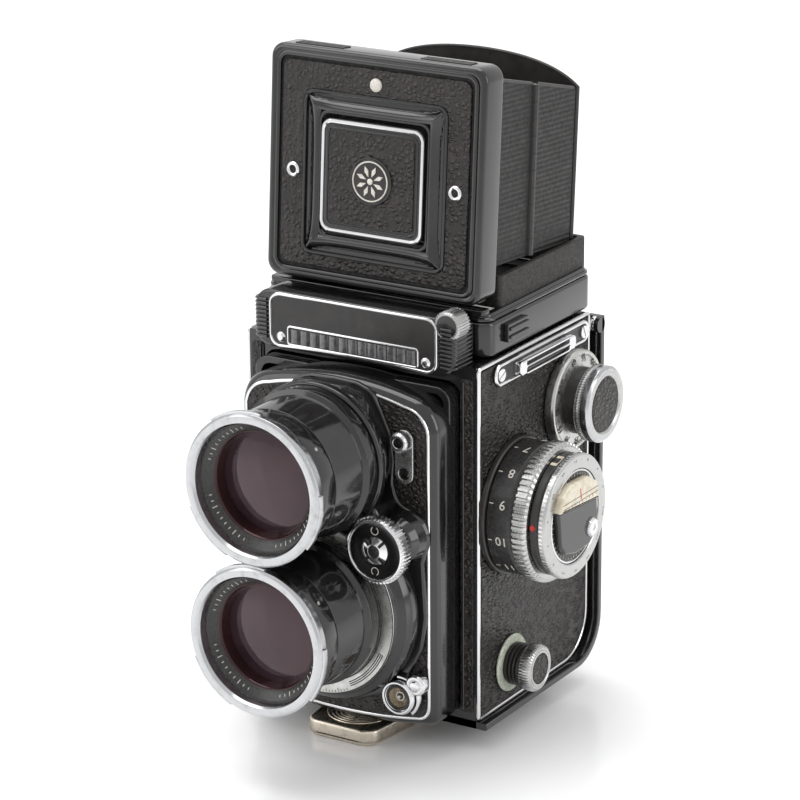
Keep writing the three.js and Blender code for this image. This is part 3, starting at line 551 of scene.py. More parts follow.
LENS = glass("coated_lens", (0.034, 0.019, 0.024), (1.0, 0.74, 0.80), 1.5)
RIM_GLASS = glass("lens_rim_reflection", (0.026, 0.010, 0.011), (1.0, 0.6, 0.62), 1.4, 0.08)
MIRROR = metal("silvered_glass", (0.92, 0.94, 0.95), (0.85, 0.87, 0.88), 0.04, 0.0, mottled=0.1)


def plain(name, colour, other, roughness, scale=1.5, depth=0.01, **constants):
    """A material of one kind of stuff with mottled colour, gloss and surface."""
    look = Look(name, **constants)
    cloud = look.noise(scale, 5.0, 0.6)
    look.colour(look.mixed(look.remap(cloud, 0.35, 0.7, 0.0, 1.0), colour, other))
    look.rough(look.remap(look.noise(scale * 2.3, 4.0, 0.6), 0.3, 0.7, roughness * 0.75, roughness * 1.25))
    look.bump(look.noise(scale * 4.0, 3.0, 0.6), depth)
    return look.material


ENGRAVED_WHITE = plain("engraving_white", (0.70, 0.67, 0.61), (0.52, 0.49, 0.44), 0.55)
ENGRAVED_BLACK = plain("engraving_black", (0.022, 0.021, 0.02), (0.05, 0.047, 0.045), 0.55)
RED = plain("signal_red", (0.55, 0.028, 0.022), (0.36, 0.015, 0.012), 0.4)
CREAM = plain("aged_clear_cover", (0.66, 0.60, 0.47), (0.52, 0.45, 0.33), 0.16, 0.4, 0.02, Coat_Weight=0.6)
CORRODED = plain("corroded_washer", (0.60, 0.61, 0.52), (0.33, 0.38, 0.30), 0.75, 1.3, 0.12)
CELL = plain("ribbed_cell_cover", (0.115, 0.113, 0.118), (0.045, 0.045, 0.048), 0.12, 0.8, 0.03,
             Coat_Weight=0.8)
AMBER = plain("amber_scale", (0.30, 0.16, 0.05), (0.12, 0.06, 0.02), 0.3, 0.9, 0.01, Coat_Weight=0.5)
GROUND = plain("ground_glass", (0.62, 0.64, 0.62), (0.5, 0.52, 0.5), 0.45, 4.0, 0.01)
IVORY = plain("socket_insulator", (0.45, 0.38, 0.28), (0.28, 0.22, 0.15), 0.4)
BLACK_PLASTIC = plain("black_plastic", (0.018, 0.017, 0.017), (0.03, 0.028, 0.027), 0.3, 0.8, 0.01)


def ribbed_sheet():
    """Black sheet of the hood's leaves, pressed with fine level ribs."""
    look = Look("ribbed_black_sheet", Specular_IOR_Level=0.35)
    lean = look.node("Mapping", Vector=look.where)
    lean.inputs["Rotation"].default_value = (math.atan2(LEAF_AXIS.y, LEAF_AXIS.z), 0.0, 0.0)
    wave = look.node("TexWave", {"wave_type": "BANDS", "bands_direction": "Z", "wave_profile": "SIN"},
                     Vector=lean.outputs["Vector"], Scale=0.314 / 1.45 / MM)
    ribs = wave.outputs["Fac"]
    tone = look.mixed(look.remap(look.noise(0.2, 5.0, 0.6), 0.35, 0.75, 0.0, 1.0), (0.009, 0.0082, 0.0078),
                      (0.016, 0.0146, 0.0135))
    look.colour(look.dusted(tone, 0.05))
    look.rough(look.remap(look.noise(1.0, 5.0, 0.6), 0.3, 0.7, 0.4, 0.6))
    look.bump(ribs, 0.12)
    look.bump(look.noise(3.0, 3.0, 0.6), 0.02)
    return look.material


RIBBED = ribbed_sheet()


# ---------------------------------------------------------------- lenses
def quadratic(start, control, end, count=16):
    """Points on the curve from start to end that its control point draws aside."""
    out = []
    for i in range(count + 1):
        t = i / count
        out.append(tuple(
            (1 - t) ** 2 * a + 2 * t * (1 - t) * b + t * t * c for a, b, c in zip(start, control, end)))
    return out


def lens(kind):
    """One long barrel with its bayonet bezel, its ticked ring and its dark glass."""
    body = "lens_standard"
    at = shifted(FRONT, 0, middle(f"{kind}_bezel").z)
    face = -low(f"{kind}_bezel").y
    barrel_r = high(f"{kind}_barrel").x
    lathe(f"{kind}_barrel_shell", at, [
        (16, 64.3), (barrel_r - 0.6, 64.3), (barrel_r, 65.0), (barrel_r, 69.1), (20.3, 69.7), (20.2, 83.5),
        (19.75, 83.7), (19.75, 84.3), (20.6, 84.5), (20.6, 90.9), (17.0, 90.9), (16, 88), (16, 64.3),
    ], ENAMEL, body, soft=0.2, segments=128, replaces=f"{kind}_barrel", slot="black_paint")
    back = face - 4.6
    lathe(f"{kind}_bezel_ring", at, [(18.7, back + 0.6), (19.1, face - 0.9), (19.7, face), (21.6, face),
                                     (22.3, face - 0.6), (22.3, face - 1.5), (21.7, face - 1.8),
                                     (21.7, face - 2.4), (21.2, face - 2.7), (21.2, back), (18.7, back),
                                     (18.7, back + 0.6),], BEZEL_CHROME, body, soft=0.18, segments=144,
          replaces=f"{kind}_bezel", slot="chrome")
    claws = []
    for start in (-38, 82, 202):
        outer = arc(22.95, start, start + 44, count=20)
        inner = arc(21.3, start + 44, start, count=20)
        claws.append(plate_mesh("claw", at, [outer + inner], face - 2.5, face - 0.7, 0.2))
    group(f"{kind}_bayonet_claws", claws, BEZEL_CHROME, body)
    lathe(f"{kind}_name_ring", at, [
        (18.8, back + 1.2), (18.2, back + 0.9), (16.6, back - 0.3), (15.7, back - 1.1), (15.7, back - 2.2),
        (18.8, back - 2.2), (18.8, back + 1.2),
    ], BLACK_PLASTIC, body, soft=0.1, segments=128)
    ticks = []
    for i in range(60):
        if i % 15 in (0, 1, 2, 14, 13):
            continue
        a = math.radians(i * 6)
        here = at @ Matrix.Rotation(a, 4, "Z")
        slope = Matrix.Translation((17.3, 0, back + 0.26)) @ Matrix.Rotation(math.radians(-37), 4, "Y")
        length = 0.75 if i % 5 == 0 else 0.4
        ticks.append(block_mesh("tick", here @ slope, -length, length, -0.11, 0.11, 0.0, 0.05))
    group(f"{kind}_name_ring_ticks", ticks, ENGRAVED_WHITE, body)
    lathe(f"{kind}_glass_rim", at, [(15.7, back - 0.9), (15.3, back - 1.4), (14.6, back - 4.4),
                                    (14.4, back - 8.2), (16.2, back - 8.2), (16.2, back - 0.9),
                                    (15.7, back - 0.9)], RIM_GLASS, body, soft=0.1, segments=128,
          replaces=f"{kind}_lens", slot="lens_glass")
    lathe(f"{kind}_glass", at, [(0, back - 3.2), (3.5, back - 3.25), (7, back - 3.45), (10, back - 3.75),
                                (12.6, back - 4.15), (14.7, back - 4.6), (14.7, back - 7.8), (0, back - 8)],
          LENS, body, soft=0, segments=128, angle=50)
    for a in (38, 158, 278):
        pin = shifted(at, turn=a) @ Matrix.Translation((0, 0, 87.4))
        turned_out = pin @ basis((0, 1, 0), (0, 0, 1), (1, 0, 0))
        screw(f"{kind}_barrel_screw_{a}", turned_out, 0.55, 20.35, STEEL, body, turn=a, height=0.3)


def magnifier_glass():
    look = Look("magnifier_glass", IOR=1.5, Transmission_Weight=0.9)
    look.colour(look.mixed(look.remap(look.noise(0.06, 3.0), 0.4, 0.65, 0.0, 1.0), (0.85, 0.87, 0.86),
                           (0.75, 0.78, 0.77)))
    look.rough(look.remap(look.noise(0.25, 4.0, 0.6), 0.45, 0.8, 0.01, 0.03))
    return look.material


MAGNIFIER_GLASS = magnifier_glass()
for kind in ("taking", "viewing"):
    lens(kind)


# ---------------------------------------------------------------- shutter housing
TAKING_Z = middle("taking_bezel").z
VIEWING_Z = middle("viewing_bezel").z
WHEEL_Z = middle("aperture_wheel").z
WHEEL_X = middle("shutter_speed_wheel").x
PLATE_W = -low("front_plate").y
SHUTTER_W = -low("shutter_housing").y
TAKING = shifted(FRONT, 0, TAKING_Z)
VIEWING = shifted(FRONT, 0, VIEWING_Z)


def mirrored(half):
    """A symmetric outline from its right half, listed from the top to the bottom."""
    return half + [(-u, v) for u, v in reversed(half) if abs(u) > 1e-6]


def shutter():
    """The black apron on the lens plate and the two cases that the barrels stand in."""
    body = "lens_standard"
    half = [(0, 113.0), (8.0, 112.7), (13.2, 110.9), (16.2, 105.5), (19.4, 98.6), (20.5, 91), (19.8, 84.2),
            (21.6, 78.6), (26.4, 76.9), (30.6, 73.4), (31.4, 68.2), (29.9, 61.5), (30.4, 53), (30.9, 45),
            (29.4, 35.0), (24.6, 25.6), (17.2, 19.0), (8.6, 15.6), (0, 14.6)]
    apron = filleted(mirrored(half), 5.0, steps=5)
    mesh = plate_mesh("shutter_apron", FRONT, [apron, circle(16.6, 0, TAKING_Z), circle(16.6, 0, VIEWING_Z)],
                      PLATE_W - 0.2, PLATE_W + 1.7, 0.7, 3)
    finish_piece("shutter_apron", mesh, ENAMEL, body, replaces="shutter_housing", slot="black_paint",
                 angle=50)
    lathe("shutter_case", TAKING, [
        (16.6, 52.4), (28.3, 52.6), (29.3, 55.5), (29.4, 58.6), (28.7, 60.9), (27.2, 62.2), (26.5, 62.5),
        (26.4, SHUTTER_W - 0.3), (20.4, SHUTTER_W - 0.3), (20.4, 60.2), (16.6, 60.2), (16.6, 52.4),
    ], ENAMEL, body, soft=0.45, segments=144)
    lathe("viewing_collar", VIEWING, [
        (16.6, 52.4), (19.6, 52.6), (19.6, 57.0), (20.8, 59.8), (22.6, 61.4), (22.6, 63.4), (22.0, SHUTTER_W),
        (16.6, SHUTTER_W), (16.6, 52.4),
    ], ENAMEL, body, soft=0.45, segments=144)
    # The bridge between the two cases, with a boss under each setting wheel.
    bridge = filleted(mirrored([(0, 84.5), (13, 82), (18.6, 77.8), (20.4, 71.5), (22.6, 62), (25.2, 54),
                                (0, 52)]), 4.0)
    plate("shutter_bridge", FRONT, [bridge], 52.4, 61.2, ENAMEL, body, 1.8, 4, angle=50)
    for hand, side in SIDES:
        boss = shifted(FRONT, side * (WHEEL_X + 1.6), WHEEL_Z + 0.4)
        lathe(f"wheel_boss_{hand}", boss, [(0, 62.2), (3.6, 62.0), (5.9, 60.6), (7.0, 58), (7.4, 54.5),
                                           (8.2, 53), (0, 53)], ENAMEL, body, soft=0.8, segments=64,
              angle=60)


def scale_window():
    """The speed and aperture scale shows through a window in the crown of the arch over the viewing lens."""
    body = "lens_standard"
    arch = filleted([(-16.4, 92), (-15.2, 104.5), (-11.2, 110.4), (-6, 111.6), (6, 111.6), (11.2, 110.4),
                     (15.2, 104.5), (16.4, 92)], [0, 6, 4, 3, 3, 4, 6, 0])
    plate("scale_arch", FRONT, [arch], 52.4, 60.4, ENAMEL, body, 1.3, 4, angle=50)
    crown = basis((1, 0, 0), (0, 0.62, 0.785), (0, -0.785, 0.62), (-2.2, -59.0, 110.3))
    plate("scale_window_frame", crown, [rounded_rect(-8.2, 8.2, -2.3, 2.3, 1.6)], -0.6, 0.35, ENAMEL, body,
          0.25)
    plate("scale_window", crown, [rounded_rect(-3.6, 3.6, -1.4, 1.4, 0.8)], 0.0, 0.5, AMBER, body, 0.12)
    for u in (-6.2, 6.2):
        clip = [(u + 1.6 * math.cos(a), -1.2 + 1.5 * math.sin(a), 0.5)
                for a in [math.pi * i / 8 for i in range(9)]]
        bead(f"scale_window_clip_{'right' if u > 0 else 'left'}", crown, clip, 0.28, CHROME, body)


def shutter_scale():
    """The silver scale ring behind the taking lens, with its black arcs and ticks."""
    body = "lens_standard"
    lathe("shutter_scale_ring", TAKING, [(21.6, 62.5), (21.6, SHUTTER_W + 0.1), (26.0, SHUTTER_W + 0.1),
                                         (26.2, SHUTTER_W - 0.2), (26.2, 62.5), (21.6, 62.5)], ALUMINIUM,
          body, soft=0.1, segments=144)
    w = SHUTTER_W + 0.1
    arcs = []
    rings = ((22.2, 0, 360), (26.1, 0, 360))
    grooves = [(23.55 + 0.6 * i, -62, -24) for i in range(3)]
    lines = ((23.3, 22, 158), (23.3, 202, 236))
    for r, start, end in (*rings, *grooves, *lines):
        path = [(u, v, w) for u, v in arc(r, start, end, count=max(8, int((end - start) / 3)))]
        arcs.append(bead_mesh("arc", TAKING, path, 0.17, flat=0.5))
    for i in range(48):
        a = -150 + i * 2.4
        if -66 < a < -20:
            continue
        here = shifted(TAKING, turn=a)
        length = 1.1 if i % 4 == 0 else 0.6
        arcs.append(block_mesh("tick", here, 25.7 - length, 25.7, -0.09, 0.09, w, w + 0.05))
    group("shutter_scale_marks", arcs, ENGRAVED_BLACK, body)
    lathe("shutter_inner_ring", TAKING, [(20.4, 62.4), (20.4, 65.2), (21.4, 65.2), (21.7, 64.7),
                                         (21.7, 62.4), (20.4, 62.4)], SATIN, body, soft=0.12, segments=144)


shutter()
scale_window()
shutter_scale()


def setting_wheel(node):
    """Knurled wheel with a black dish and a slotted bright cone in its middle."""
    at = shifted(FRONT, middle(node).x, WHEEL_Z)
    front = -low(node).y
    rear = front - 4.4
    knurled(f"{node}_rim", at, 8.3, [(rear, 9.1, 1), (rear + 0.5, 9.9, 1), (front - 0.9, 10.0, 1),
                                     (front - 0.2, 9.2, 0.6)], 52, 0.6, CHROME, node, duty=0.42,
            replaces=node, slot="chrome", angle=25)
    lathe(f"{node}_lip", at, [(8.0, rear), (9.25, rear), (9.25, front - 0.3), (8.7, front),
                              (8.35, front - 0.1), (8.0, front - 0.9), (8.0, rear)], CHROME, node,
          soft=0.12)
    lathe(f"{node}_dish", at, [(0, front - 1.0), (4.2, front - 1.0), (4.4, front - 0.8), (8.35, front - 0.45),
                               (8.35, rear), (0, rear)], ENAMEL, node, soft=0.1)
    cone = [(0, front - 1.0), (1.7, front - 1.0), (1.9, front + 0.2), (4.1, front - 0.75), (4.1, front - 1.0)]
    lathe(f"{node}_cone", at, cone, CHROME, node, soft=0.1, segments=64)
    lathe(f"{node}_centre", at, [(0, front + 0.15), (1.9, front + 0.05), (2.0, front - 0.9),
                                 (0, front - 0.9)], BLACK_PLASTIC, node, soft=0.15, segments=48)
    slots, signs = [], []
    for quarter in range(4):
        turned = shifted(at, turn=45 + 90 * quarter)
        slots.append(block_mesh("slot", turned, 1.9, 4.5, -0.45, 0.45, front - 1.0, front + 0.06))
    group(f"{node}_cone_slots", slots, BLACK_PLASTIC, node)
    for turn in (90, 270):
        centre = shifted(at, turn=turn) @ Matrix.Translation((6.1, 0, front - 0.58))
        loop = [(u, v, 0) for u, v in arc(1.15, 30, 330, count=24)]
        signs.append(bead_mesh("sign", centre, loop, 0.12, flat=0.5))
    group(f"{node}_signs", signs, ENGRAVED_WHITE, node)


for wheel in ("shutter_speed_wheel", "aperture_wheel"):
    setting_wheel(wheel)


# ---------------------------------------------------------------- lens plate
def plate_outline(inset, part="all"):
    """The lens plate's edge: bowed bottom, straight sides, shouldered and arched top."""
    half = high("front_plate").x - inset
    bottom = 11.5 + inset
    top = 108.5 - inset
    right = quadratic((half - 4, bottom), (half, bottom + 0.3), (half, bottom + 4.5), 8)
    right += quadratic((half, 100), (half - 1, 107 - inset / 2), (half - 8, top), 12)
    crown = quadratic((half - 8, top), (0, 114.6 - inset), (-half + 8, top), 30)
    left = [(-u, v) for u, v in reversed(right)]
    base = quadratic((-half + 4, bottom), (0, 6.6 + inset), (half - 4, bottom), 24)
    if part == "trim":
        gap = 12.5
        return ([p for p in crown if p[0] < -gap] + left + base + right + [p for p in crown if p[0] > gap])
    return right[:-1] + crown[:-1] + left[:-1] + base[:-1]


def lens_plate():
    body = "lens_standard"
    holes = [circle(16.4, 0, TAKING_Z), circle(16.4, 0, VIEWING_Z)]
    plate("lens_plate_edge", FRONT, [plate_outline(-1.2), plate_outline(5.4)], 37.6, PLATE_W, ENAMEL, body,
          3.2, 5, replaces="front_plate", slot="black_paint", angle=50)
    plate("lens_plate_middle", FRONT, [plate_outline(2.6)] + holes, PLATE_W - 2.5, PLATE_W - 0.05, ENAMEL,
          body, 0.3)
    plate("lens_plate_leather", FRONT, [plate_outline(1.9)] + holes, PLATE_W - 0.3, PLATE_W + 0.25,
          SIDE_LEATHER, body, 0.1)
    bead("lens_plate_trim", FRONT, on_plane(plate_outline(1.25, "trim"), PLATE_W), 0.48, CHROME, body,
         flat=0.8)
    lo, hi = low("standard_box"), high("standard_box")
    outer = rounded_rect(lo.x + 0.2, hi.x - 0.2, lo.z + 0.2, hi.z - 0.2, 4.6, steps=10)
    plate("standard_sleeve", FRONT, [outer, rounded_rect(lo.x + 2.4, hi.x - 2.4, lo.z + 2.4, hi.z - 2.4,
            3.0)], -high("standard_box").y, 44.0, ENAMEL, body, 0.3, 3, replaces="standard_box",
          slot="black_paint")


lens_plate()


# ---------------------------------------------------------------- fittings on the lens plate
def sync_lever():
    node = "sync_lever"
    lo, hi = low(node), high(node)
    u = (lo.x + hi.x) / 2
    r = (hi.x - lo.x) / 2
    foot, head = lo.z + r, hi.z - r
    outline = filleted([(u - r, foot - r), (u + r, foot - r), (u + r, head + r), (u - r, head + r)],
                       r - 0.02, steps=10)
    plate("sync_lever_arm", FRONT, [outline, circle(1.75, u, foot, 32)], 53.0, 54.0, SATIN_CHROME, node, 0.18,
          replaces=node, slot="chrome")
    lathe("sync_lever_pivot", shifted(FRONT, u, foot), [(0, 53.6), (1.7, 53.6), (1.7, 52.9), (0, 52.9)],
          ENAMEL, node, segments=48)
    at = shifted(FRONT, u, head)
    knurled("sync_lever_stud", at, 1.5, [(53.8, 2.7, 0), (54.3, 3.0, 1), (56.6, 3.0, 1), (57.2, 2.5, 0.4)],
            30, 0.32, CHROME, node, angle=25)
    lathe("sync_lever_bore", at, [(1.5, 57.3), (2.2, 57.3), (2.5, 57.0), (2.5, 54), (1.5, 54), (1.5, 57.3)],
          CHROME, node, soft=0.12, segments=48)
    lathe("sync_lever_core", at, [(0, 55.2), (1.5, 55.2), (1.5, 54), (0, 54)], INSIDE, node, segments=32)
    arrow = [(u - 0.9, 94.4), (u, 92.6), (u + 0.9, 94.4), (u + 0.5, 94.4), (u, 93.5), (u - 0.5, 94.4)]
    plate("sync_lever_arrow", FRONT, [arrow], 53.9, 54.06, ENGRAVED_BLACK, node)


def flash_socket():
    body = "lens_standard"
    centre = middle("flash_socket")
    at = shifted(FRONT, centre.x, centre.z)
    front = -low("flash_socket").y
    lathe("flash_socket_rim", at, [(3.9, 53), (5.3, 53), (5.3, front - 0.6), (4.9, front), (4.35, front),
                                   (4.2, front - 0.5), (3.9, front - 0.6), (3.9, 53)], CHROME, body,
          soft=0.15, segments=64, replaces="flash_socket", slot="chrome")
    lathe("flash_socket_sleeve", at, [(2.9, 53), (3.9, 53), (3.9, front - 0.35), (3.5, front - 0.2),
                                      (3.1, front - 0.4), (2.9, front - 0.9), (2.9, 53)], BLACK_PLASTIC,
          body, soft=0.12, segments=64)
    lathe("flash_socket_cup", at, [(0, 54.3), (2.5, 54.3), (2.95, front - 0.7), (3.1, front - 0.7),
                                   (3.1, 53), (0, 53)], IVORY, body, soft=0.1, segments=48)
    lathe("flash_socket_pin", at, [(0, front - 1.0), (0.45, front - 1.1), (0.6, front - 1.5), (0.6, 54),
                                   (0, 54)], STEEL, body, soft=0.12, segments=32)
    lathe("flash_socket_pin_ring", at, [(1.05, 54.2), (1.05, front - 1.9), (1.45, front - 1.9),
                                        (1.45, 54.2), (1.05, 54.2)], STEEL, body, soft=0.08, segments=32)
    node = "socket_lock_lever"
    hi = high(node)
    pu, pv = hi.x - 3.1, hi.z - 3.2
    ring = arc(6.5, -50, 100, centre.x, centre.z, 24) + arc(5.55, 100, -50, centre.x, centre.z, 24)
    plate("socket_lock_arm", FRONT, [ring], 53.4, 55.6, CHROME, node, 0.25, replaces=node, slot="chrome")
    lathe("socket_lock_knob", shifted(FRONT, pu + 0.1, pv + 0.2),
          [(0, 53.2), (3.2, 53.2), (3.2, 55.6), (2.7, 56.2), (1.9, 56.2), (1.7, 55.8), (1.3, 56.6),
           (0, 56.8)], CHROME, node, soft=0.2, segments=48)


def release():
    centre = middle("release_button")
    at = shifted(FRONT, centre.x, centre.z)
    lathe("release_button_cap", at, [(0, 59), (1.6, 58.9), (2.5, 58.4), (2.9, 57.8), (2.9, 57.0),
                                     (2.1, 56.8), (2.1, 48.6), (0, 48.6)], CHROME, "release_button",
          segments=48, replaces="release_button", slot="chrome")
    knurled("release_collar", at, 3.3, [(52.6, 4.8, 0), (53.2, 5.0, 1), (56.9, 5.0, 1), (57.6, 4.5, 0.4)],
            34, 0.35, CHROME, "release_lock_collar", replaces="release_lock_collar", slot="chrome",
            angle=25)
    block("release_collar_tab", at, -1.1, 1.1, -7, -4.2, 53.4, 55.4, CHROME, "release_lock_collar", 0.4)


sync_lever()
flash_socket()
release()


# ---------------------------------------------------------------- hood lid
FLAP_V = 21.2


def square(half, r):
    """A rounded square about the middle of the flap."""
    return rounded_rect(-half, half, FLAP_V - half, FLAP_V + half, r)


def lid():
    body = "hood_lid"
    opening = rounded_rect(-17.5, 17.5, 3.6, 38.8, 2.8)
    outline = rounded_rect(-36, 36, -10.8, 57.4, 4.2, steps=8)
    inner = rounded_rect(-33.2, 33.2, -8.0, 54.6, 2.6)
    plate("lid_rim", LID, [outline, inner], -2.8, 7.4, ENAMEL, body, 1.3, 4, replaces="hood_lid",
          slot="black_paint", angle=50)
    plate("lid_sheet", LID, [inner, opening], 3.0, 6.7, INSIDE, body, 0.1)
    bead("lid_edge_bead", LID, on_plane(rounded_rect(-33.0, 33.0, -8.2, 54.8, 3.2), 7.0), 0.75, ENAMEL,
         body, closed=True, flat=0.8)
    plate("lid_leather", LID, [rounded_rect(-31.3, 31.3, -6.4, 53.1, 2.4), square(24.1, 3.2)], 6.4, 7.5,
          LID_LEATHER, body, 0.3)
    plate("lid_frame_floor", LID, [square(24.3, 3.2), square(18.0, 3.0)], 5.6, 6.9, ENAMEL, body, 0.1)
    bead("lid_frame_bead", LID, on_plane(square(23.6, 2.9), 7.3), 0.62, ENAMEL, body, closed=True)


def frame_height(u, v):
    """Height of the raised frame round the flap: domed, bowed inwards, with a ridge to each corner."""
    du, dv = abs(u), abs(v - FLAP_V)
    a, b = max(du, dv), min(du, dv)
    edge = 22.9 - 1.9 * (1 - (b / max(a, 1e-6)) ** 6)
    inner_edge = 17.9
    if a <= inner_edge - 0.2 or a >= edge + 1.0:
        return None
    t = (a - inner_edge) / max(edge - inner_edge, 0.1)
    ridge = (b / a) ** 10 if a > 1e-6 else 0
    dome = math.sin(math.pi * min(max(t, 0.0), 1.0) ** 0.8)
    return 6.9 + 1.35 * max(dome, 0) ** 0.7 + 0.5 * ridge * math.sin(math.pi * min(max(t, 0), 1))


def lid_badge_frame():
    body = "hood_lid"
    steps = 120
    size = 24.6
    verts, faces, index = [], [], {}
    for row in range(steps + 1):
        for col in range(steps + 1):
            u = -size + 2 * size * col / steps
            v = FLAP_V - size + 2 * size * row / steps
            h = frame_height(u, v)
            if h is not None:
                index[row, col] = len(verts)
                verts.append(LID @ Vector((u, v, h)))
    for row in range(steps):
        for col in range(steps):
            corners = [(row, col), (row, col + 1), (row + 1, col + 1), (row + 1, col)]
            if all(c in index for c in corners):
                faces.append([index[c] for c in corners])
    mesh = bpy.data.meshes.new("lid_badge_frame")
    mesh.from_pydata([tuple(v) for v in verts], [], faces)
    finish_piece("lid_badge_frame", mesh, ENAMEL, body, angle=55)
    plate("lid_frame_wall", LID, [rounded_rect(-18.6, 18.6, FLAP_V - 18.6, FLAP_V + 18.6, 3.0),
                                  rounded_rect(-17.7, 17.7, FLAP_V - 17.7, FLAP_V + 17.7, 2.6)], 2.5, 7.9,
          ENAMEL, body, 0.3)


def lid_fittings():
    """The two eyelets, the white stud and the ribbed grips on the lid's top edge."""
    body = "hood_lid"
    for u in (-27.2, 27.2):
        hand = "right" if u > 0 else "left"
        here = shifted(LID, u, FLAP_V)
        lathe(f"lid_eyelet_{hand}", here, [(1.0, 7.3), (2.25, 7.3), (2.2, 7.9), (1.75, 8.3), (1.25, 8.1),
                                           (1.0, 7.6), (1.0, 7.3)], CHROME, body, soft=0.15, segments=48)
        lathe(f"lid_eyelet_core_{hand}", here, [(0, 7.7), (1.05, 7.7), (1.05, 7.2), (0, 7.2)], INSIDE, body,
              soft=0, segments=32)
    lathe("lid_stud", shifted(LID, 0, 48.7), [(0, 8.4), (1.1, 8.3), (1.8, 7.9), (2.1, 7.2), (0, 7.2)],
          ENGRAVED_WHITE, body, soft=0.2, segments=48, angle=60)
    for u in (-21.0, 21.0):
        hand = "right" if u > 0 else "left"
        bars = [block_mesh("bar", LID, u - 8.2, u + 8.2, 57.2, 57.7, w, w + 0.8) for w in (0.9, 2.5, 4.1)]
        group(f"lid_grip_{hand}", bars, SATIN, body, bevel=0.15)


def flap():
    body = "finder_flap"
    plate("flap_plate", LID, [rounded_rect(-17.2, 17.2, FLAP_V - 16.6, FLAP_V + 16.6, 3.2)], 7.7, 8.5,
          ENAMEL, body, 0.2, replaces="finder_flap", slot="black_paint")
    bead("flap_chrome_line", LID, on_plane(rounded_rect(-16.6, 16.6, FLAP_V - 15.9, FLAP_V + 15.9, 3.0),
                                           8.4), 0.62, CHROME, body, closed=True, flat=0.9)
    bead("flap_inner_bead", LID, on_plane(rounded_rect(-15.0, 15.0, FLAP_V - 14.3, FLAP_V + 14.3, 2.2),
                                          8.4), 0.5, ENAMEL, body, closed=True, flat=0.9)
    plate("flap_leather", LID, [rounded_rect(-14.2, 14.2, FLAP_V - 13.5, FLAP_V + 13.5, 1.6)], 8.2, 8.85,
          LID_LEATHER, body, 0.2)
    # A plain ornament: a rosette of eight petals inside a ring.
    petals = []
    for i in range(8):
        a = math.radians(45 * i + 22.5)
        petal = [(4.7 * math.cos(a), 4.7 * math.sin(a)), (1.4 * math.cos(a), 1.4 * math.sin(a))]
        petal += [(3.3 * math.cos(a + s * 0.2), 3.3 * math.sin(a + s * 0.2)) for s in (-1, 1)]
        petal.sort(key=lambda p: math.atan2(p[1] - 3.2 * math.sin(a), p[0] - 3.2 * math.cos(a)))
        petals.append(plate_mesh("petal", LID, [[(u, v + FLAP_V) for u, v in petal]], 9.2, 9.5, 0.05))
    petals.append(lathe_mesh("boss", shifted(LID, 0, FLAP_V),
                             [(0, 9.6), (0.6, 9.6), (0.9, 9.4), (0.9, 9.1), (0, 9.1)], 48))
    petals.append(bead_mesh("ring", LID, on_plane(circle(5.7, 0, FLAP_V, 96), 9.25), 0.22, closed=True))
    group("flap_ornament", petals, ENGRAVED_WHITE, body, angle=50)
    lathe("flap_ornament_disc", shifted(LID, 0, FLAP_V), [(0, 9.25), (6.0, 9.25), (6.4, 9.1), (6.6, 8.6),
            (0, 8.6)], SATIN, body, soft=0.1, segments=96)
    bead("flap_ornament_edge", LID, on_plane(circle(6.7, 0, FLAP_V, 96), 8.9), 0.4, ENAMEL, body, closed=True)


lid()
lid_badge_frame()
lid_fittings()
flap()


# ---------------------------------------------------------------- hood base and leaves
def hood_base():
    body = "camera_body"
    lo, hi = low("hood_frame"), high("hood_frame")
    base = rounded_rect(-hi.x, hi.x, lo.y, hi.y, 4.2, steps=8)
    well = rounded_rect(-34.3, 34.3, -26.4, 26.6, 2.4)
    plate("hood_base", TOP, [base, well], 117.7, 128.2, ENAMEL, body, 1.1, 4, replaces="hood_frame",
          slot="black_paint", angle=50)
    step = rounded_rect(-hi.x + 1.0, hi.x - 1.0, lo.y + 1.0, hi.y - 0.6, 3.6, steps=8)
    plate("hood_step", TOP, [step, well], 127.5, 130.4, ENAMEL, body, 0.8, 4, angle=50)
    bead("hood_bead", TOP, on_plane(rounded_rect(-37.35, 37.35, lo.y + 0.7, hi.y - 0.5, 3.8), 128.9), 0.62,
         ENAMEL, body, closed=True)
    skirt = rounded_rect(-36.2, 36.2, -21.0, 29.5, 1.6)
    inner = rounded_rect(-34.4, 34.4, -19.8, 27.8, 1.0)
    plate("hood_skirt", TOP, [skirt, inner], 129.9, 139.5, WRINKLE, body, 0.35, 3)
    plate("hood_front_lip", TOP, [rounded_rect(-36.4, 36.4, lo.y + 0.6, -26.8, 1.2)], 130.0, 131.8, ENAMEL,
          body, 0.5, 3)
    for hand, side in SIDES:
        at = RIGHT if side > 0 else LEFT
        pads = []
        for i in range(2):
            v0 = 122.3 + 2.4 * i
            y0, y1 = (-22.2, -11.4) if side > 0 else (11.4, 22.2)
            pads.append(block_mesh("rib", at, y0, y1, v0 - 0.45, v0 + 0.45, 39.6, 40.5))
        y0, y1 = (-22.6, -11.0) if side > 0 else (11.0, 22.6)
        pads.append(block_mesh("pad", at, y0, y1, 120.8, 126.2, 38.2, 39.8))
        group(f"hood_catch_grip_{hand}", pads, ENAMEL, f"hood_catch_{hand}", bevel=0.3,
                     replaces=f"hood_catch_{hand}", slot="black_paint")


LEAF_TOP = 53.4  # height of the leaves at the lid
LEAF_SLOPE = 0.18  # fall of their tops towards the rear wall


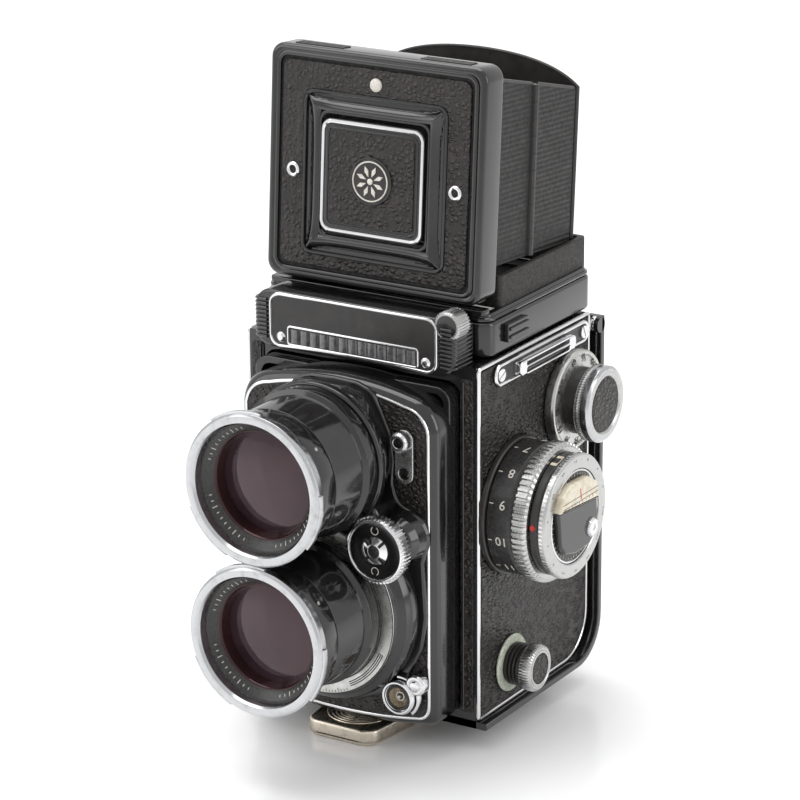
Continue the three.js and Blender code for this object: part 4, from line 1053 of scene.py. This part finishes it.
def leaf(hand, part):
    """One side leaf of the hood: its thin ribbed sheet and the folded lip on its top."""
    node = f"hood_wall_{part}_{hand}"
    b0, b1 = (0.0, 24.3) if part == "front" else (25.6, 49.2)
    at = HOOD[hand]
    top = LEAF_TOP - LEAF_SLOPE * b0
    end = LEAF_TOP - LEAF_SLOPE * b1
    outline = filleted([(b0 + 0.2, -1.4), (b1, -1.4), (b1, end), (b0 + 0.2, top)], [0.6, 0.6, 1.6, 1.6])
    plate(f"{node}_sheet", at, [outline], 32.5, 33.5, RIBBED, node, 0.2, replaces=node, slot="black_paint")
    bead(f"{node}_lip", at, [(b0 + 1.0, top - 0.3, 33.0), (b1 - 1.0, end - 0.1, 33.0)], 0.6, SATIN, node)


def hood_leaves():
    for hand, at in HOOD.items():
        leaf(hand, "front")
        leaf(hand, "rear")
        for n in range(10):
            owner = "front" if n % 2 == 0 else "rear"
            v0 = -1.2 + 5.0 * n
            bead(f"hood_hinge_{hand}_{n}", at, [(24.95, v0, 33.4), (24.95, v0 + 4.9, 33.4)], 1.3, SATIN,
                 f"hood_wall_{owner}_{hand}")
    node = "hood_rear_wall"
    b = 50.4
    rear = LID @ basis((-1, 0, 0), (0, 1, 0), (0, 0, -1), (0, 0, -b))
    corner = LEAF_TOP - LEAF_SLOPE * 51
    crown = quadratic((33.6, corner), (24, 52.2), (0, 52.3), 16) + quadratic((0, 52.3), (-24, 52.2),
            (-33.6, corner), 16)[1:]
    arch = [(-33.6, -1.2), (33.6, -1.2)] + crown
    plate("hood_rear_sheet", rear, [arch], -0.5, 0.4, SATIN, node, 0.2, replaces=node, slot="black_paint")
    bead("hood_rear_lip", rear, on_plane(crown, 0.0), 0.6, SATIN, node)
    for u in (-33.2, 33.2):
        hand = "left" if u > 0 else "right"
        bead(f"hood_rear_edge_{hand}", rear, [(u, -0.8, 0.0), (u, 44.3, 0.0)], 0.8, SATIN, node)


hood_base()
hood_leaves()


# ---------------------------------------------------------------- nameplate and meter
def nameplate():
    """The meter's housing with its blank face, chrome outline and fluted ends."""
    body = "camera_body"
    lo, hi = low("meter_housing"), high("meter_housing")
    face = -lo.y
    z0, z1 = lo.z, hi.z
    outline = rounded_rect(-hi.x, hi.x, z0, z1, 5.2, steps=10)
    plate("nameplate_body", FRONT, [outline], 31.6, face - 0.9, ENAMEL, body, 0.9, 4,
          replaces="meter_housing", slot="black_paint", angle=50)
    # The fluted ends sit between the face and the body, and show from the side.
    for hand, side in SIDES:
        flutes = []
        for i in range(10):
            v = z0 + 2.9 + i * 1.25
            edge = hi.x - 0.1
            path = [(side * 29.4, v, face - 0.75), (side * (edge - 1.6), v, face - 0.8),
                    (side * (edge - 0.4), v, face - 1.3), (side * edge, v, face - 2.4),
                    (side * edge, v, 33.2)]
            flutes.append(bead_mesh("flute", FRONT, path, 0.5))
        group(f"nameplate_flutes_{hand}", flutes, ENAMEL, body, angle=60)
    u0 = 28.0
    floor = z0 + 0.9
    trim = arc(3.4, 180, 90, -u0 + 3.4, z1 - 4.0, 8) + arc(3.4, 90, 0, u0 - 3.4, z1 - 4.0, 8)
    trim += arc(3.3, 0, -90, u0 - 3.3, floor + 3.3, 8)
    trim += quadratic((u0 - 3.9, floor), (0, floor + 1.6), (-u0 + 3.9, floor), 26)[1:-1]
    trim += arc(3.3, 270, 180, -u0 + 3.3, floor + 3.3, 8)
    plate("nameplate_face", FRONT, [trim], face - 1.2, face - 0.5, SATIN, body, 0.12)
    bead("nameplate_trim", FRONT, on_plane(trim, face - 0.55), 0.5, CHROME, body, closed=True, flat=0.9)


def meter_cell():
    """The ribbed window of the meter's cell along the foot of the nameplate."""
    body = "camera_body"
    u1 = 21.2
    face = -low("meter_housing").y
    z0 = low("meter_housing").z
    v0, v1 = z0 + 1.9, z0 + 7.1
    ribs = []
    count = 13
    for i in range(count):
        u = -u1 + 2 * u1 * (i + 0.5) / count
        rib = arc(1.15, 0, 180, 0, 0, 8)
        verts = []
        for end in (v0 + 0.5, v1 - 0.5):
            for x, h in rib:
                verts.append(FRONT @ Vector((u + x * 1.4, end, face - 0.7 + h * 0.62)))
        n = len(rib)
        faces = [(j, j + 1, j + 1 + n, j + n) for j in range(n - 1)] + [list(range(n)), list(range(n, 2 * n))]
        ribs.append(mesh_of("rib", verts, faces))
    group("meter_cell_ribs", ribs, CELL, body, angle=50, replaces="meter_cell_window", slot="cell_window")
    bead("meter_cell_frame", FRONT, on_plane(rounded_rect(-u1 - 0.7, u1 + 0.7, v0 - 0.1, v1 + 0.1, 0.8),
                                             face - 0.45), 0.42, CHROME, body, closed=True)


def nameplate_studs():
    face, z0 = -low("meter_housing").y, low("meter_housing").z
    for hand, side in (("left", -1), ("right", 1)):
        lathe(f"nameplate_stud_{hand}", shifted(FRONT, side * 24.5, z0 + 3.6),
              [(0, face + 0.05), (0.8, face), (1.5, face - 0.4), (1.7, face - 0.9), (0, face - 0.9)],
              CHROME, "camera_body", soft=0.15, segments=40, angle=60)


def thumbwheel():
    node = "finder_thumbwheel"
    centre = middle(node)
    front, back = -low(node).y, -high(node).y
    r = (high(node).x - low(node).x) / 2
    at = shifted(FRONT, centre.x, centre.z)
    knurled("thumbwheel_rim", at, 1.2, [(back, r - 0.7, 0), (back + 0.5, r, 1), (front - 0.5, r, 1),
                                        (front, r - 0.6, 0.4)], 30, 0.35, SATIN_CHROME, node, replaces=node,
            slot="chrome", angle=25)
    lathe("thumbwheel_face", at, [(0, front + 0.1), (r - 1.2, front + 0.1), (r - 0.9, front - 0.2),
                                  (r - 0.9, back + 0.4), (0, back + 0.4)], ENAMEL, node, soft=0.08,
          segments=40)


nameplate()
meter_cell()
nameplate_studs()
thumbwheel()


# ---------------------------------------------------------------- right side: trims, dials and knobs
def side_outline(inset, mirror=False):
    lo, hi = low("side_cover_right"), high("side_cover_right")
    y0, y1 = lo.y + inset, hi.y - inset
    z0, z1 = lo.z + inset, hi.z - inset
    points = filleted([(y0, z0), (y1, z0), (y1, z1), (y0, z1)], [0.8, 13 - inset, 0.8, 0.8], steps=12)
    return [(-u, v) for u, v in points] if mirror else points


def cover(hand):
    """A leathered side panel with a bright line round it."""
    body = "camera_body"
    at, mirror = (RIGHT, False) if hand == "right" else (LEFT, True)
    node = f"side_cover_{hand}"
    plate(f"{node}_leather", at, [side_outline(0.3, mirror)], 38.6, 39.55, SIDE_LEATHER, body, 0.25,
          replaces=node, slot="leatherette")
    bead(f"{node}_trim", at, on_plane(side_outline(-0.5, mirror), 38.95), 0.62, CHROME, body, closed=True)


def body_shell():
    """The narrow leather strips beside the lens plate, each with a black bead along it."""
    body = "camera_body"
    lo, hi = low("body_casting"), high("body_casting")
    for hand, side in SIDES:
        u0, u1 = sorted((side * 33.4, side * 37.6))
        plate(f"front_strip_{hand}", FRONT, [rounded_rect(u0, u1, lo.z + 2.4, hi.z - 3.6, 0.9)], 38.2,
              38.95, SIDE_LEATHER, body, 0.2)
        path = [(side * 34.4, lo.z + 3.0, 38.9), (side * 34.4, hi.z - 4.4, 38.9)]
        bead(f"front_strip_line_{hand}", FRONT, path, 0.45, ENAMEL, body)


def strap_lug(hand):
    body = "camera_body"
    node = f"strap_lug_{hand}"
    at = RIGHT if hand == "right" else LEFT
    s = 1 if hand == "right" else -1
    lo, hi = low(node), high(node)

    def flip(points):
        return [(s * u, v) for u, v in points]

    z0, z1 = lo.z, hi.z
    y0, y1 = lo.y, hi.y
    outer = flip(rounded_rect(y0, y1, z0, z1, 3.0, steps=8))
    plate(f"{node}_plate", at, [outer], 39.6, 40.3, SATIN, body, 0.2, replaces=node, slot="chrome")
    bead(f"{node}_trim", at, on_plane(flip(rounded_rect(y0 + 0.35, y1 - 0.35, z0 + 0.35, z1 - 0.35, 2.7,
                                                        steps=8)), 40.3), 0.55, CHROME, body, closed=True)
    # A raised staple with two parallel slots through it.
    a, b = -21.0, 11.5
    zm = (z0 + z1) / 2
    staple = flip(rounded_rect(a, b, z0 + 1.1, z1 - 1.1, 1.5, steps=6))
    holes = [flip(rounded_rect(a + 3.6, b - 3.6, zm - 1.75, zm - 0.35, 0.6)),
             flip(rounded_rect(a + 3.6, b - 3.6, zm + 0.35, zm + 1.75, 0.6))]
    plate(f"{node}_staple", at, [staple] + holes, 41.4, 43.1, CHROME, body, 0.35, 3)
    for n, (u0, u1) in enumerate(((a + 0.2, a + 3.2), (b - 3.2, b - 0.2))):
        plate(f"{node}_foot_{n}", at, [flip(rounded_rect(u0, u1, z0 + 1.3, z1 - 1.3, 0.9))], 40.1, 41.9,
              CHROME, body, 0.3)
    for n, u in enumerate((y0 + 3.1, y1 - 3.1)):
        screw(f"{node}_screw_{n}", shifted(at, s * u, zm), 1.9, 40.3, CHROME, body, turn=25 + 90 * n,
              height=0.7)


def counter():
    node = "counter_dial"
    c = middle(node)
    at = shifted(RIGHT, c.y, c.z)
    top = high(node).x
    lathe("counter_bezel", at, [(13.6, 39.9), (15.1, 39.9), (15.1, top - 1.5), (14.8, top - 0.7),
                                (14.2, top - 0.5), (13.6, top - 0.7), (13.6, 39.9)], ALUMINIUM, node,
          soft=0.15, segments=128, replaces=node, slot="aluminium")
    lathe("counter_face", at, [(0, top - 0.6), (11.0, top - 0.6), (13.7, top - 1.0), (13.7, 40.2), (0, 40.2)],
          ALUMINIUM, node, soft=0.1, segments=128)
    items, ticks = [], []
    for i in range(12):
        a = 155 + i * 28.0
        label = str(5 * (i + 1))
        r = 12.2
        items.append((label, r * math.cos(math.radians(a)), r * math.sin(math.radians(a)), a - 90))
        for k in range(5):
            here = shifted(at, turn=a - k * 5.4)
            length = 0.6 if k else 0.9
            ticks.append(block_mesh("tick", here, 14.2 - length, 14.2, -0.08, 0.08, top - 0.95, top - 0.60))
    marks("counter_numbers", items, flat_on(at, top - 0.72), ENGRAVED_BLACK, node, size=2.7, raise_by=0.05)
    group("counter_ticks", ticks, ENGRAVED_BLACK, node)


def spool_knob(node, r_leather, teeth, ribbed_base):
    """A knurled knob with a leather disc in its face, on a neck or on three ribbed collars."""
    body = node
    c = middle(node)
    at = shifted(RIGHT, c.y, c.z)
    x0, x1 = low(node).x, high(node).x
    r = (high(node).z - low(node).z) / 2
    foot = 45.6 if ribbed_base else x1 - 5.4
    brim = x1 - 0.1 if ribbed_base else x1 - 3.0
    knurled(f"{node}_grip", at, r - 2.4, [(foot, r - 1.2, 0), (foot + 0.5, r - 0.3, 0.8), (foot + 1.0, r, 1),
                                          (brim - 0.9, r, 1), (brim - 0.4, r - 0.3, 0.7), (brim, r - 0.9, 0)],
            teeth, 0.36, SATIN_CHROME, body, replaces=node, slot="chrome", angle=25)
    if not ribbed_base:
        lathe(f"{node}_brim", at, [(r - 2.4, brim), (r - 0.3, brim), (r, brim + 0.3), (r, x1 - 0.7),
                                   (r - 0.7, x1 - 0.05), (r - 1.6, x1), (r - 2.4, x1 - 0.6),
                                   (r - 2.4, brim)], BEZEL_CHROME, body, soft=0.2, segments=96)
    lathe(f"{node}_lip", at, [(r_leather - 0.1, x1 - 0.5), (r_leather + 0.5, x1 + 0.05), (r - 1.5, x1),
                              (r - 1.5, x1 - 1.2), (r_leather - 0.1, x1 - 1.2),
                              (r_leather - 0.1, x1 - 0.5)], SATIN_CHROME, body, soft=0.2, segments=96)
    lathe(f"{node}_leather", at, [(0, x1 - 0.1), (r_leather - 0.8, x1 - 0.15), (r_leather, x1 - 0.5),
                                  (r_leather, x1 - 1.2), (0, x1 - 1.2)], SIDE_LEATHER, body, soft=0.15,
          segments=96)
    if ribbed_base:
        rings = []
        for i in range(4):
            w = 41.0 + 1.25 * i
            rings += [(5.5, w), (6.4, w + 0.3), (6.4, w + 0.85), (5.5, w + 1.15)]
        lathe(f"{node}_collar", at, [(3.5, 41.0)] + rings + [(3.5, 46.0), (3.5, 41.0)], SATIN, body,
              soft=0.08)
        lathe(f"{node}_washer", at, [(3.2, 39.7), (8.5, 39.8), (8.7, 40.3), (8.3, 40.6), (3.2, 40.6),
                                     (3.2, 39.7)], CORRODED, "camera_body", soft=0.15, segments=72)
        lathe(f"{node}_hub", at, [(3.0, 40.0), (5.9, 40.3), (5.9, 41.4), (3.0, 41.6), (3.0, 40.0)], SATIN,
              "camera_body", soft=0.15, segments=72)
    else:
        lathe(f"{node}_neck", at, [(0, x0 + 0.1), (r - 1.5, x0 + 0.1), (r - 1.5, foot + 0.4),
                                   (0, foot + 0.4)], SATIN, body, soft=0.15, segments=72)


FOCUS = shifted(RIGHT, -19.0, 70.9)  # the focusing knob's axis


def focus_knob():
    """The flange, the black band with its distance numbers, and the knurled ring."""
    at = FOCUS
    lathe("focus_flange_ring", at, [(0, 39.7), (20.4, 39.7), (20.6, 40.0), (20.6, 41.2), (20.2, 41.5),
                                    (0, 41.5)], SATIN, "camera_body", soft=0.15, segments=144,
          replaces="focus_flange", slot="black_paint")
    node = "focus_drive"
    lathe("focus_scale_band", at, [(0, 41.7), (19.4, 41.7), (19.8, 42.1), (19.8, 48.8), (19.2, 49.6),
                                   (19.2, 50.0), (0, 50.0)], BLACK_PLASTIC, node, soft=0.15, segments=160,
          replaces="focus_ring", slot="black_paint")
    knurled("focus_knurl", at, 17.6, [(49.7, 19.4, 0), (50.1, 20.2, 0.9), (50.6, 20.6, 1), (53.8, 20.6, 1),
                                      (54.3, 20.2, 0.9), (54.8, 19.3, 0)], 68, 0.6, SATIN_CHROME, node,
            duty=0.56, angle=22)
    band = around(at, 19.8)
    along = 19.8 * math.pi / 180
    items = [(label, 46.6, (180 - a) * along, 180) for label,
             a in (("5", 44), ("6", 74), ("7", 103), ("8", 132), ("9", 160), ("10", 192), ("11", 223),
                   ("12", 252), ("14", 282), ("17", 312), ("20", 342), ("25", 372))]
    marks("focus_scale_numbers", items, lambda u, v, h: band(180 - v / along, u, h), ENGRAVED_WHITE, node,
          size=4.0, raise_by=0.05)
    ticks = []
    for _, _, v, _ in items:
        here = shifted(at, turn=180 - v / along)
        ticks.append(block_mesh("tick", here, 19.7, 19.86, -0.13, 0.13, 42.3, 43.6))
    group("focus_scale_ticks", ticks, ENGRAVED_WHITE, node)


def meter_head():
    """The fixed head of the meter inside the focusing knob."""
    at = FOCUS
    head = "camera_body"
    lathe("meter_head_band", at, [(0, 54.9), (17.8, 54.9), (18.0, 55.2), (18.0, 57.0), (17.6, 57.6),
                                  (0, 57.6)], SATIN, head, soft=0.15, segments=144, replaces="meter_head",
          slot="black_paint")
    lathe("meter_head_disc", at, [(0, 59.5), (12.5, 59.6), (13.9, 59.4), (13.9, 57.5), (0, 57.5)],
          BLACK_PLASTIC, head, soft=0.12, segments=128)
    # The raised black cover below the lit window slopes down towards the disc.
    cover = filleted([(-12.6, 4.8), (-11.2, -5.6), (-8.4, -9.0), (-2.0, -10.6), (6.0, -10.2), (11.2, -7.0),
                      (10.4, 3.2)], [0.6, 1.5, 1.5, 2, 2, 1.5, 0.6])
    plate("meter_head_cover", at, [cover], 59.0, 61.6, ENAMEL, head, 0.7, 3)
    lathe("meter_head_disc_rim", at, [(13.1, 59.5), (13.4, 59.95), (13.9, 59.8), (13.9, 59.3), (13.1, 59.3),
                                      (13.1, 59.5)], CHROME, head, soft=0.06, segments=128)
    tri = shifted(at, turn=176) @ basis((0, 1, 0), (0, 0, 1), (1, 0, 0))
    plate("focus_index", tri, [[(-1.1, 56.0), (0, 55.1), (1.1, 56.0), (0, 57.1)]], 17.9, 18.14, RED, head)
    gap = shifted(at, turn=103) @ basis((0, 1, 0), (0, 0, 1), (1, 0, 0))
    plate("focus_window", gap, [rounded_rect(-2.6, 2.6, 55.1, 57.2, 0.3)], 17.3, 17.95, CREAM, head, 0.1)


def film_speed_dial():
    at = FOCUS
    dial = "film_speed_dial"
    lathe("film_speed_ring", at, [(14.1, 57.9), (18.2, 57.9), (18.4, 58.2), (18.4, 59.6), (18.0, 60.1),
                                  (14.5, 60.25), (14.1, 60.0), (14.1, 57.9)], SATIN_CHROME, dial, soft=0.15,
          segments=144, replaces=dial, slot="chrome")
    knurled("film_speed_edge", at, 17.4, [(58.1, 18.1, 0), (58.3, 18.45, 1), (59.3, 18.45, 1),
                                          (59.6, 18.0, 0)], 90, 0.35, CHROME, dial, angle=22)
    numbers = []
    for i, label in enumerate("2 4 8 15 30 60 2 4 8 12 25 50 100 200".split()):
        a = i * 360 / 14 + 14
        numbers.append((label, 16.3 * math.cos(math.radians(a)), 16.3 * math.sin(math.radians(a)), a - 90))
    marks("film_speed_numbers", numbers, flat_on(at, 60.12), ENGRAVED_BLACK, dial, size=1.9, raise_by=0.05)


def meter_head_ticks():
    ticks = []
    for i in range(48):
        here = shifted(FOCUS, turn=i * 7.5)
        length = 1.0 if i % 4 == 0 else 0.55
        ticks.append(block_mesh("tick", here, 12.9 - length, 12.9, -0.07, 0.07, 59.5, 59.68))
    group("meter_head_ticks", ticks, ENGRAVED_WHITE, "camera_body")


def film_speed_knob():
    knob = "film_speed_knob"
    centre = middle(knob)
    at = shifted(RIGHT, centre.y, centre.z)
    x0, x1 = low(knob).x, high(knob).x
    r = (high(knob).z - low(knob).z) / 2
    knurled("film_speed_grip", at, 0.9, [(x0, r - 0.3, 0), (x0 + 0.4, r, 1), (x1 - 0.5, r, 1),
                                         (x1, r - 0.5, 0.4)], 26, 0.35, CHROME, knob, replaces=knob,
            slot="chrome", angle=25)
    lathe("film_speed_cap", at, [(0, x1 - 0.15), (0.7, x1 - 0.2), (1.4, x1 - 0.3), (1.4, x1 - 1),
                                 (0, x1 - 1)], CHROME, knob, soft=0.1, segments=40, angle=60)


def meter_window():
    """The lit window over the meter's needle, with its scale lines."""
    at = FOCUS
    pane = filleted([(-12.7, 4.6), (10.4, 3.0), (9.2, 8.4), (4.5, 11.3), (-5.5, 11.6), (-10.8, 9.2)],
                    [0.5, 0.5, 1.2, 3, 3, 1.2])
    plate("meter_window_cover", at, [pane], 59.2, 62.4, CREAM, "camera_body", 0.8, 3, replaces="meter_window",
          slot="window_glass", angle=50)
    lines = [block_mesh("line", at, -11.2, 9.2, v - 0.09, v + 0.09, 62.36, 62.43) for v in (5.6, 7.0)]
    lines += [block_mesh("line", at, u - 0.09, u + 0.09, 4.8, 5.6, 62.36, 62.43) for u in range(-10, 10, 2)]
    group("meter_window_scale", lines, ENGRAVED_BLACK, "camera_body")
    needle = shifted(at, turn=98)
    finish_piece("meter_window_mark", block_mesh("mark", needle, 6.0, 9.4, -0.25, 0.25, 62.36, 62.44), RED,
                 "camera_body")


for hand in ("right", "left"):
    cover(hand)
    strap_lug(hand)
body_shell()
counter()
spool_knob("upper_spool_knob", 8.4, 84, False)
spool_knob("lower_spool_knob", 5.0, 48, True)
focus_knob()
meter_head()
film_speed_dial()
meter_head_ticks()
film_speed_knob()
meter_window()


# ---------------------------------------------------------------- back door, base and left side
def corner_arc(y_out, z_out, r, angles):
    """The arc that rounds the door's lower rear corner, at angles below the level in degrees."""
    turns = [math.radians(-a) for a in angles]
    return [(y_out - r + r * math.cos(a), z_out + r + r * math.sin(a)) for a in turns]


def door_section(inset):
    """The L of the back door in the (y, z) plane: back, rounded corner and the flap under the body."""
    lo, hi = low("back_door"), high("back_door")
    y_out, z_out = hi.y - inset, lo.z + inset
    t = 2.1 - 2 * inset
    y_in, z_in = y_out - t, z_out + t
    pts = [(y_out, hi.z - inset), (y_in, hi.z - inset)]
    pts += corner_arc(y_in, z_in, 11.9, range(0, 91, 9))
    pts += [(lo.y + inset, z_in), (lo.y + inset, z_out)]
    pts += corner_arc(y_out, z_out, 14, range(90, -1, -9))
    return pts


def door_curve(inset):
    """Only the outer line of the door, from its front edge to its top."""
    lo, hi = low("back_door"), high("back_door")
    y_out, z_out = hi.y - inset, lo.z + inset
    pts = [(lo.y + 4, z_out)]
    pts += corner_arc(y_out, z_out, 14 - inset, range(90, -1, -9))
    pts += [(y_out, hi.z - 8)]
    return pts


def strip_mesh(name, u0, u1, line, lift):
    """Sheet along a (y, z) line between two widths in x, lifted outwards, its side edges turned down."""
    verts, faces = [], []
    n = len(line)
    normals = []
    for i in range(n):
        a, b = line[max(i - 1, 0)], line[min(i + 1, n - 1)]
        t = Vector((b[0] - a[0], b[1] - a[1])).normalized()
        normals.append(Vector((t.y, -t.x)))
    rows = []
    for edge, height in ((u0, 0.0), (u0 + 0.35, lift), (u1 - 0.35, lift), (u1, 0.0)):
        row = []
        for (y, z), nrm in zip(line, normals):
            row.append(len(verts))
            verts.append((edge, y + nrm.x * height, z + nrm.y * height))
        rows.append(row)
    for a, b in zip(rows, rows[1:]):
        for i in range(n - 1):
            faces.append((a[i], a[i + 1], b[i + 1], b[i]))
    return mesh_of(name, verts, faces)


def back_door():
    body = "back_door"
    hi = high(body)
    mesh = plate_mesh("back_door_shell", basis((0, 1, 0), (0, 0, 1), (1, 0, 0)), [door_section(0.0)], -hi.x,
                      hi.x, 0.4, 3)
    finish_piece("back_door_shell", mesh, ENAMEL, body, angle=50)
    finish_piece("back_door_leather", strip_mesh("leather", -33.5, 33.5, door_curve(0), 0.55), SIDE_LEATHER,
                 body, angle=50)
    for hand, side in SIDES:
        line = [(side * 38.6, y, z) for y, z in door_curve(0)]
        finish_piece(f"door_edge_line_{hand}", bead_mesh("line", Matrix(), line, 0.55), CHROME, body)
        line = [(side * 34.0, y, z) for y, z in door_curve(-0.15)]
        finish_piece(f"door_leather_line_{hand}", bead_mesh("line", Matrix(), line, 0.35), CHROME, body)
    # An oval frame on the back, pressed in one with the door.
    at = shifted(BACK, 0, 62)
    plate("door_plaque", at, [rounded_rect(-15, 15, -9, 9, 4)], hi.y, hi.y + 1.0, SATIN, body, 0.3)
    bead("door_plaque_line", at, on_plane(rounded_rect(-13.6, 13.6, -7.6, 7.6, 3), hi.y + 1.0), 0.3,
         ALUMINIUM, body, closed=True)
    rows = []
    for n in range(3):
        rows.append(bead_mesh("row", at, [(-11, 4 - 4 * n, hi.y + 1.0), (11, 4 - 4 * n, hi.y + 1.0)], 0.22))
    group("door_plaque_rows", rows, ALUMINIUM, body)
    for hand, side in SIDES:
        pin = shifted(RIGHT if side > 0 else LEFT, side * 28.7, 112.9)
        lathe(f"hinge_pin_head_{hand}", pin, [(0, 41.9), (1.2, 41.8), (2.1, 41.2), (2.4, 40.4), (2.4, 39.3),
                                              (0, 39.3)], CHROME, body, soft=0.15, segments=48, angle=60)


def latch():
    body = "bottom_latch"
    lo, hi = low(body), high(body)
    outline = filleted([(-11.2, lo.y), (11.2, lo.y), (14.5, hi.y), (-14.5, hi.y)], [4.5, 4.5, 0.8, 0.8],
                       steps=8)
    plate("latch_toe", TOP, [outline], 0.05, 5.0, NICKEL, body, 0.9, 4, replaces=body, slot="nickel",
          angle=50)
    plate("latch_toe_rim", TOP, [outline], 0.9, 1.7, NICKEL, body, 0.2)
    ridges = []
    for i in range(6):
        r = 9.6 - i * 1.25
        path = [(u, v, 5.0) for u, v in arc(r, 200, 340, 0, lo.y + 12.8, 24)]
        ridges.append(bead_mesh("ridge", TOP, path, 0.42, flat=0.8))
    group("latch_grip_ridges", ridges, NICKEL, body, angle=60)


def seat():
    node = "tripod_seat"
    c = middle(node)
    r = (high(node).x - low(node).x) / 2
    top = high(node).z
    lathe("seat_disc", shifted(TOP, c.x, c.y), [(3.3, 0.0), (r - 0.8, 0.0), (r, 0.7), (r, top - 0.3),
                                                (3.3, top - 0.3), (3.3, 0.0)], NICKEL, "camera_body",
          soft=0.2, segments=128, replaces=node, slot="nickel")
    rings = []
    for i in range(18):
        rings.append(lathe_mesh("thread", shifted(TOP, c.x, c.y),
                                [(2.85, 0.35 + i * 0.3), (3.25, 0.2 + i * 0.3), (3.25, 0.5 + i * 0.3),
                                 (2.85, 0.35 + i * 0.3)], 40))
    group("seat_thread", rings, STEEL, "camera_body", angle=60)


def crank():
    hub = shifted(LEFT, 4.0, 67.2)
    lathe("crank_hub", hub, [(0, 45.2), (7.6, 45.2), (8.6, 44.8), (9.8, 43.4), (10.0, 40.2), (0, 40.0)],
          SATIN_CHROME, "crank", soft=0.25, segments=96)
    lathe("crank_hub_cap", hub, [(0, 45.9), (4.4, 45.8), (5.0, 45.5), (5.0, 45.0), (0, 45.0)], CHROME,
          "crank", soft=0.15, segments=72)


back_door()
latch()
seat()
crank()


# ---------------------------------------------------------------- looks of the carried-over nodes
NODE_LOOKS = {"body_casting": ENAMEL, "viewfinder_mirror": MIRROR, "focusing_screen": GROUND,
              "magnifier": MAGNIFIER_GLASS, "back_door": ENAMEL, "crank_arm": SATIN_CHROME,
              "pressure_plate": SATIN, "release_lock_collar": CHROME, "meter_needle": STEEL,}


def dress_nodes():
    for name, obj in frame["nodes"].items():
        look = NODE_LOOKS.get(name)
        if look is None:
            look = next((made for word, made in (("roller", STEEL), ("gear", ALUMINIUM), ("shaft", STEEL))
                         if word in name), MATT)
        obj.data.materials.clear()
        obj.data.materials.append(look)


dress_nodes()


# ---------------------------------------------------------------- floor, camera and light
def floor_material():
    look = Look("pale_floor", Specular_IOR_Level=0.35)
    look.colour(look.mixed(look.remap(look.noise(0.01, 3.0), 0.4, 0.6, 0.0, 1.0), (0.93, 0.93, 0.93),
                           (0.91, 0.91, 0.912)))
    look.rough(look.remap(look.noise(0.02, 3.0), 0.4, 0.6, 0.16, 0.2))
    look.bump(look.noise(0.5, 3.0), 0.002)
    return look.material


def floor():
    mesh = bpy.data.meshes.new("floor")
    size = 6.0
    mesh.from_pydata([(-size, -size, 0), (size, -size, 0), (size, size, 0), (-size, size, 0)], [],
                     [(0, 1, 2, 3)])
    mesh.materials.append(floor_material())
    obj = bpy.data.objects.new("floor", mesh)
    obj.location.z = -0.00005
    bpy.context.scene.collection.objects.link(obj)


def camera():
    azimuth, elevation, roll = (math.radians(a) for a in (31.82, 18.43, -0.3956))
    right = Vector((math.cos(azimuth), math.sin(azimuth), 0))
    forward = Vector((-math.sin(azimuth) * math.cos(elevation), math.cos(azimuth) * math.cos(elevation),
                      -math.sin(elevation)))
    up = right.cross(forward)
    side = right * math.cos(roll) + up * math.sin(roll)
    top = up * math.cos(roll) - right * math.sin(roll)
    data = bpy.data.cameras.new("camera")
    data.sensor_width = 36.0
    data.lens = 156.95
    data.clip_start = 0.05
    data.clip_end = 50.0
    obj = bpy.data.objects.new("camera", data)
    matrix = Matrix((side, top, -forward)).transposed().to_4x4()
    matrix.translation = Vector((513.3, -844.6, 419.9)) * MM
    obj.matrix_world = matrix
    bpy.context.scene.collection.objects.link(obj)
    bpy.context.scene.camera = obj


def area(name, place, aim, width, height, power, tint=(1.0, 1.0, 1.0)):
    light = bpy.data.lights.new(name, "AREA")
    light.shape = "RECTANGLE"
    light.size = width
    light.size_y = height
    light.energy = power
    light.color = tint
    obj = bpy.data.objects.new(name, light)
    obj.location = place
    obj.rotation_euler = (Vector(aim) - Vector(place)).to_track_quat("-Z", "Y").to_euler()
    bpy.context.scene.collection.objects.link(obj)


def lighting():
    scene = bpy.context.scene
    scene.view_settings.view_transform = "Standard"
    world = bpy.data.worlds.new("studio")
    scene.world = world
    world.use_nodes = True
    background = world.node_tree.nodes["Background"]
    background.inputs["Color"].default_value = (1.0, 1.0, 1.0, 1.0)
    background.inputs["Strength"].default_value = 0.92
    area("key_above", (-0.3, 0.1, 1.5), (0, 0, 0.08), 1.5, 1.2, 17.0)
    area("left_front", (-1.0, -0.9, 0.7), (0, 0, 0.1), 0.8, 1.0, 4.0)
    area("right_side", (1.4, 0.2, 0.6), (0, 0, 0.1), 0.6, 1.0, 5.0)


floor()
camera()
lighting()
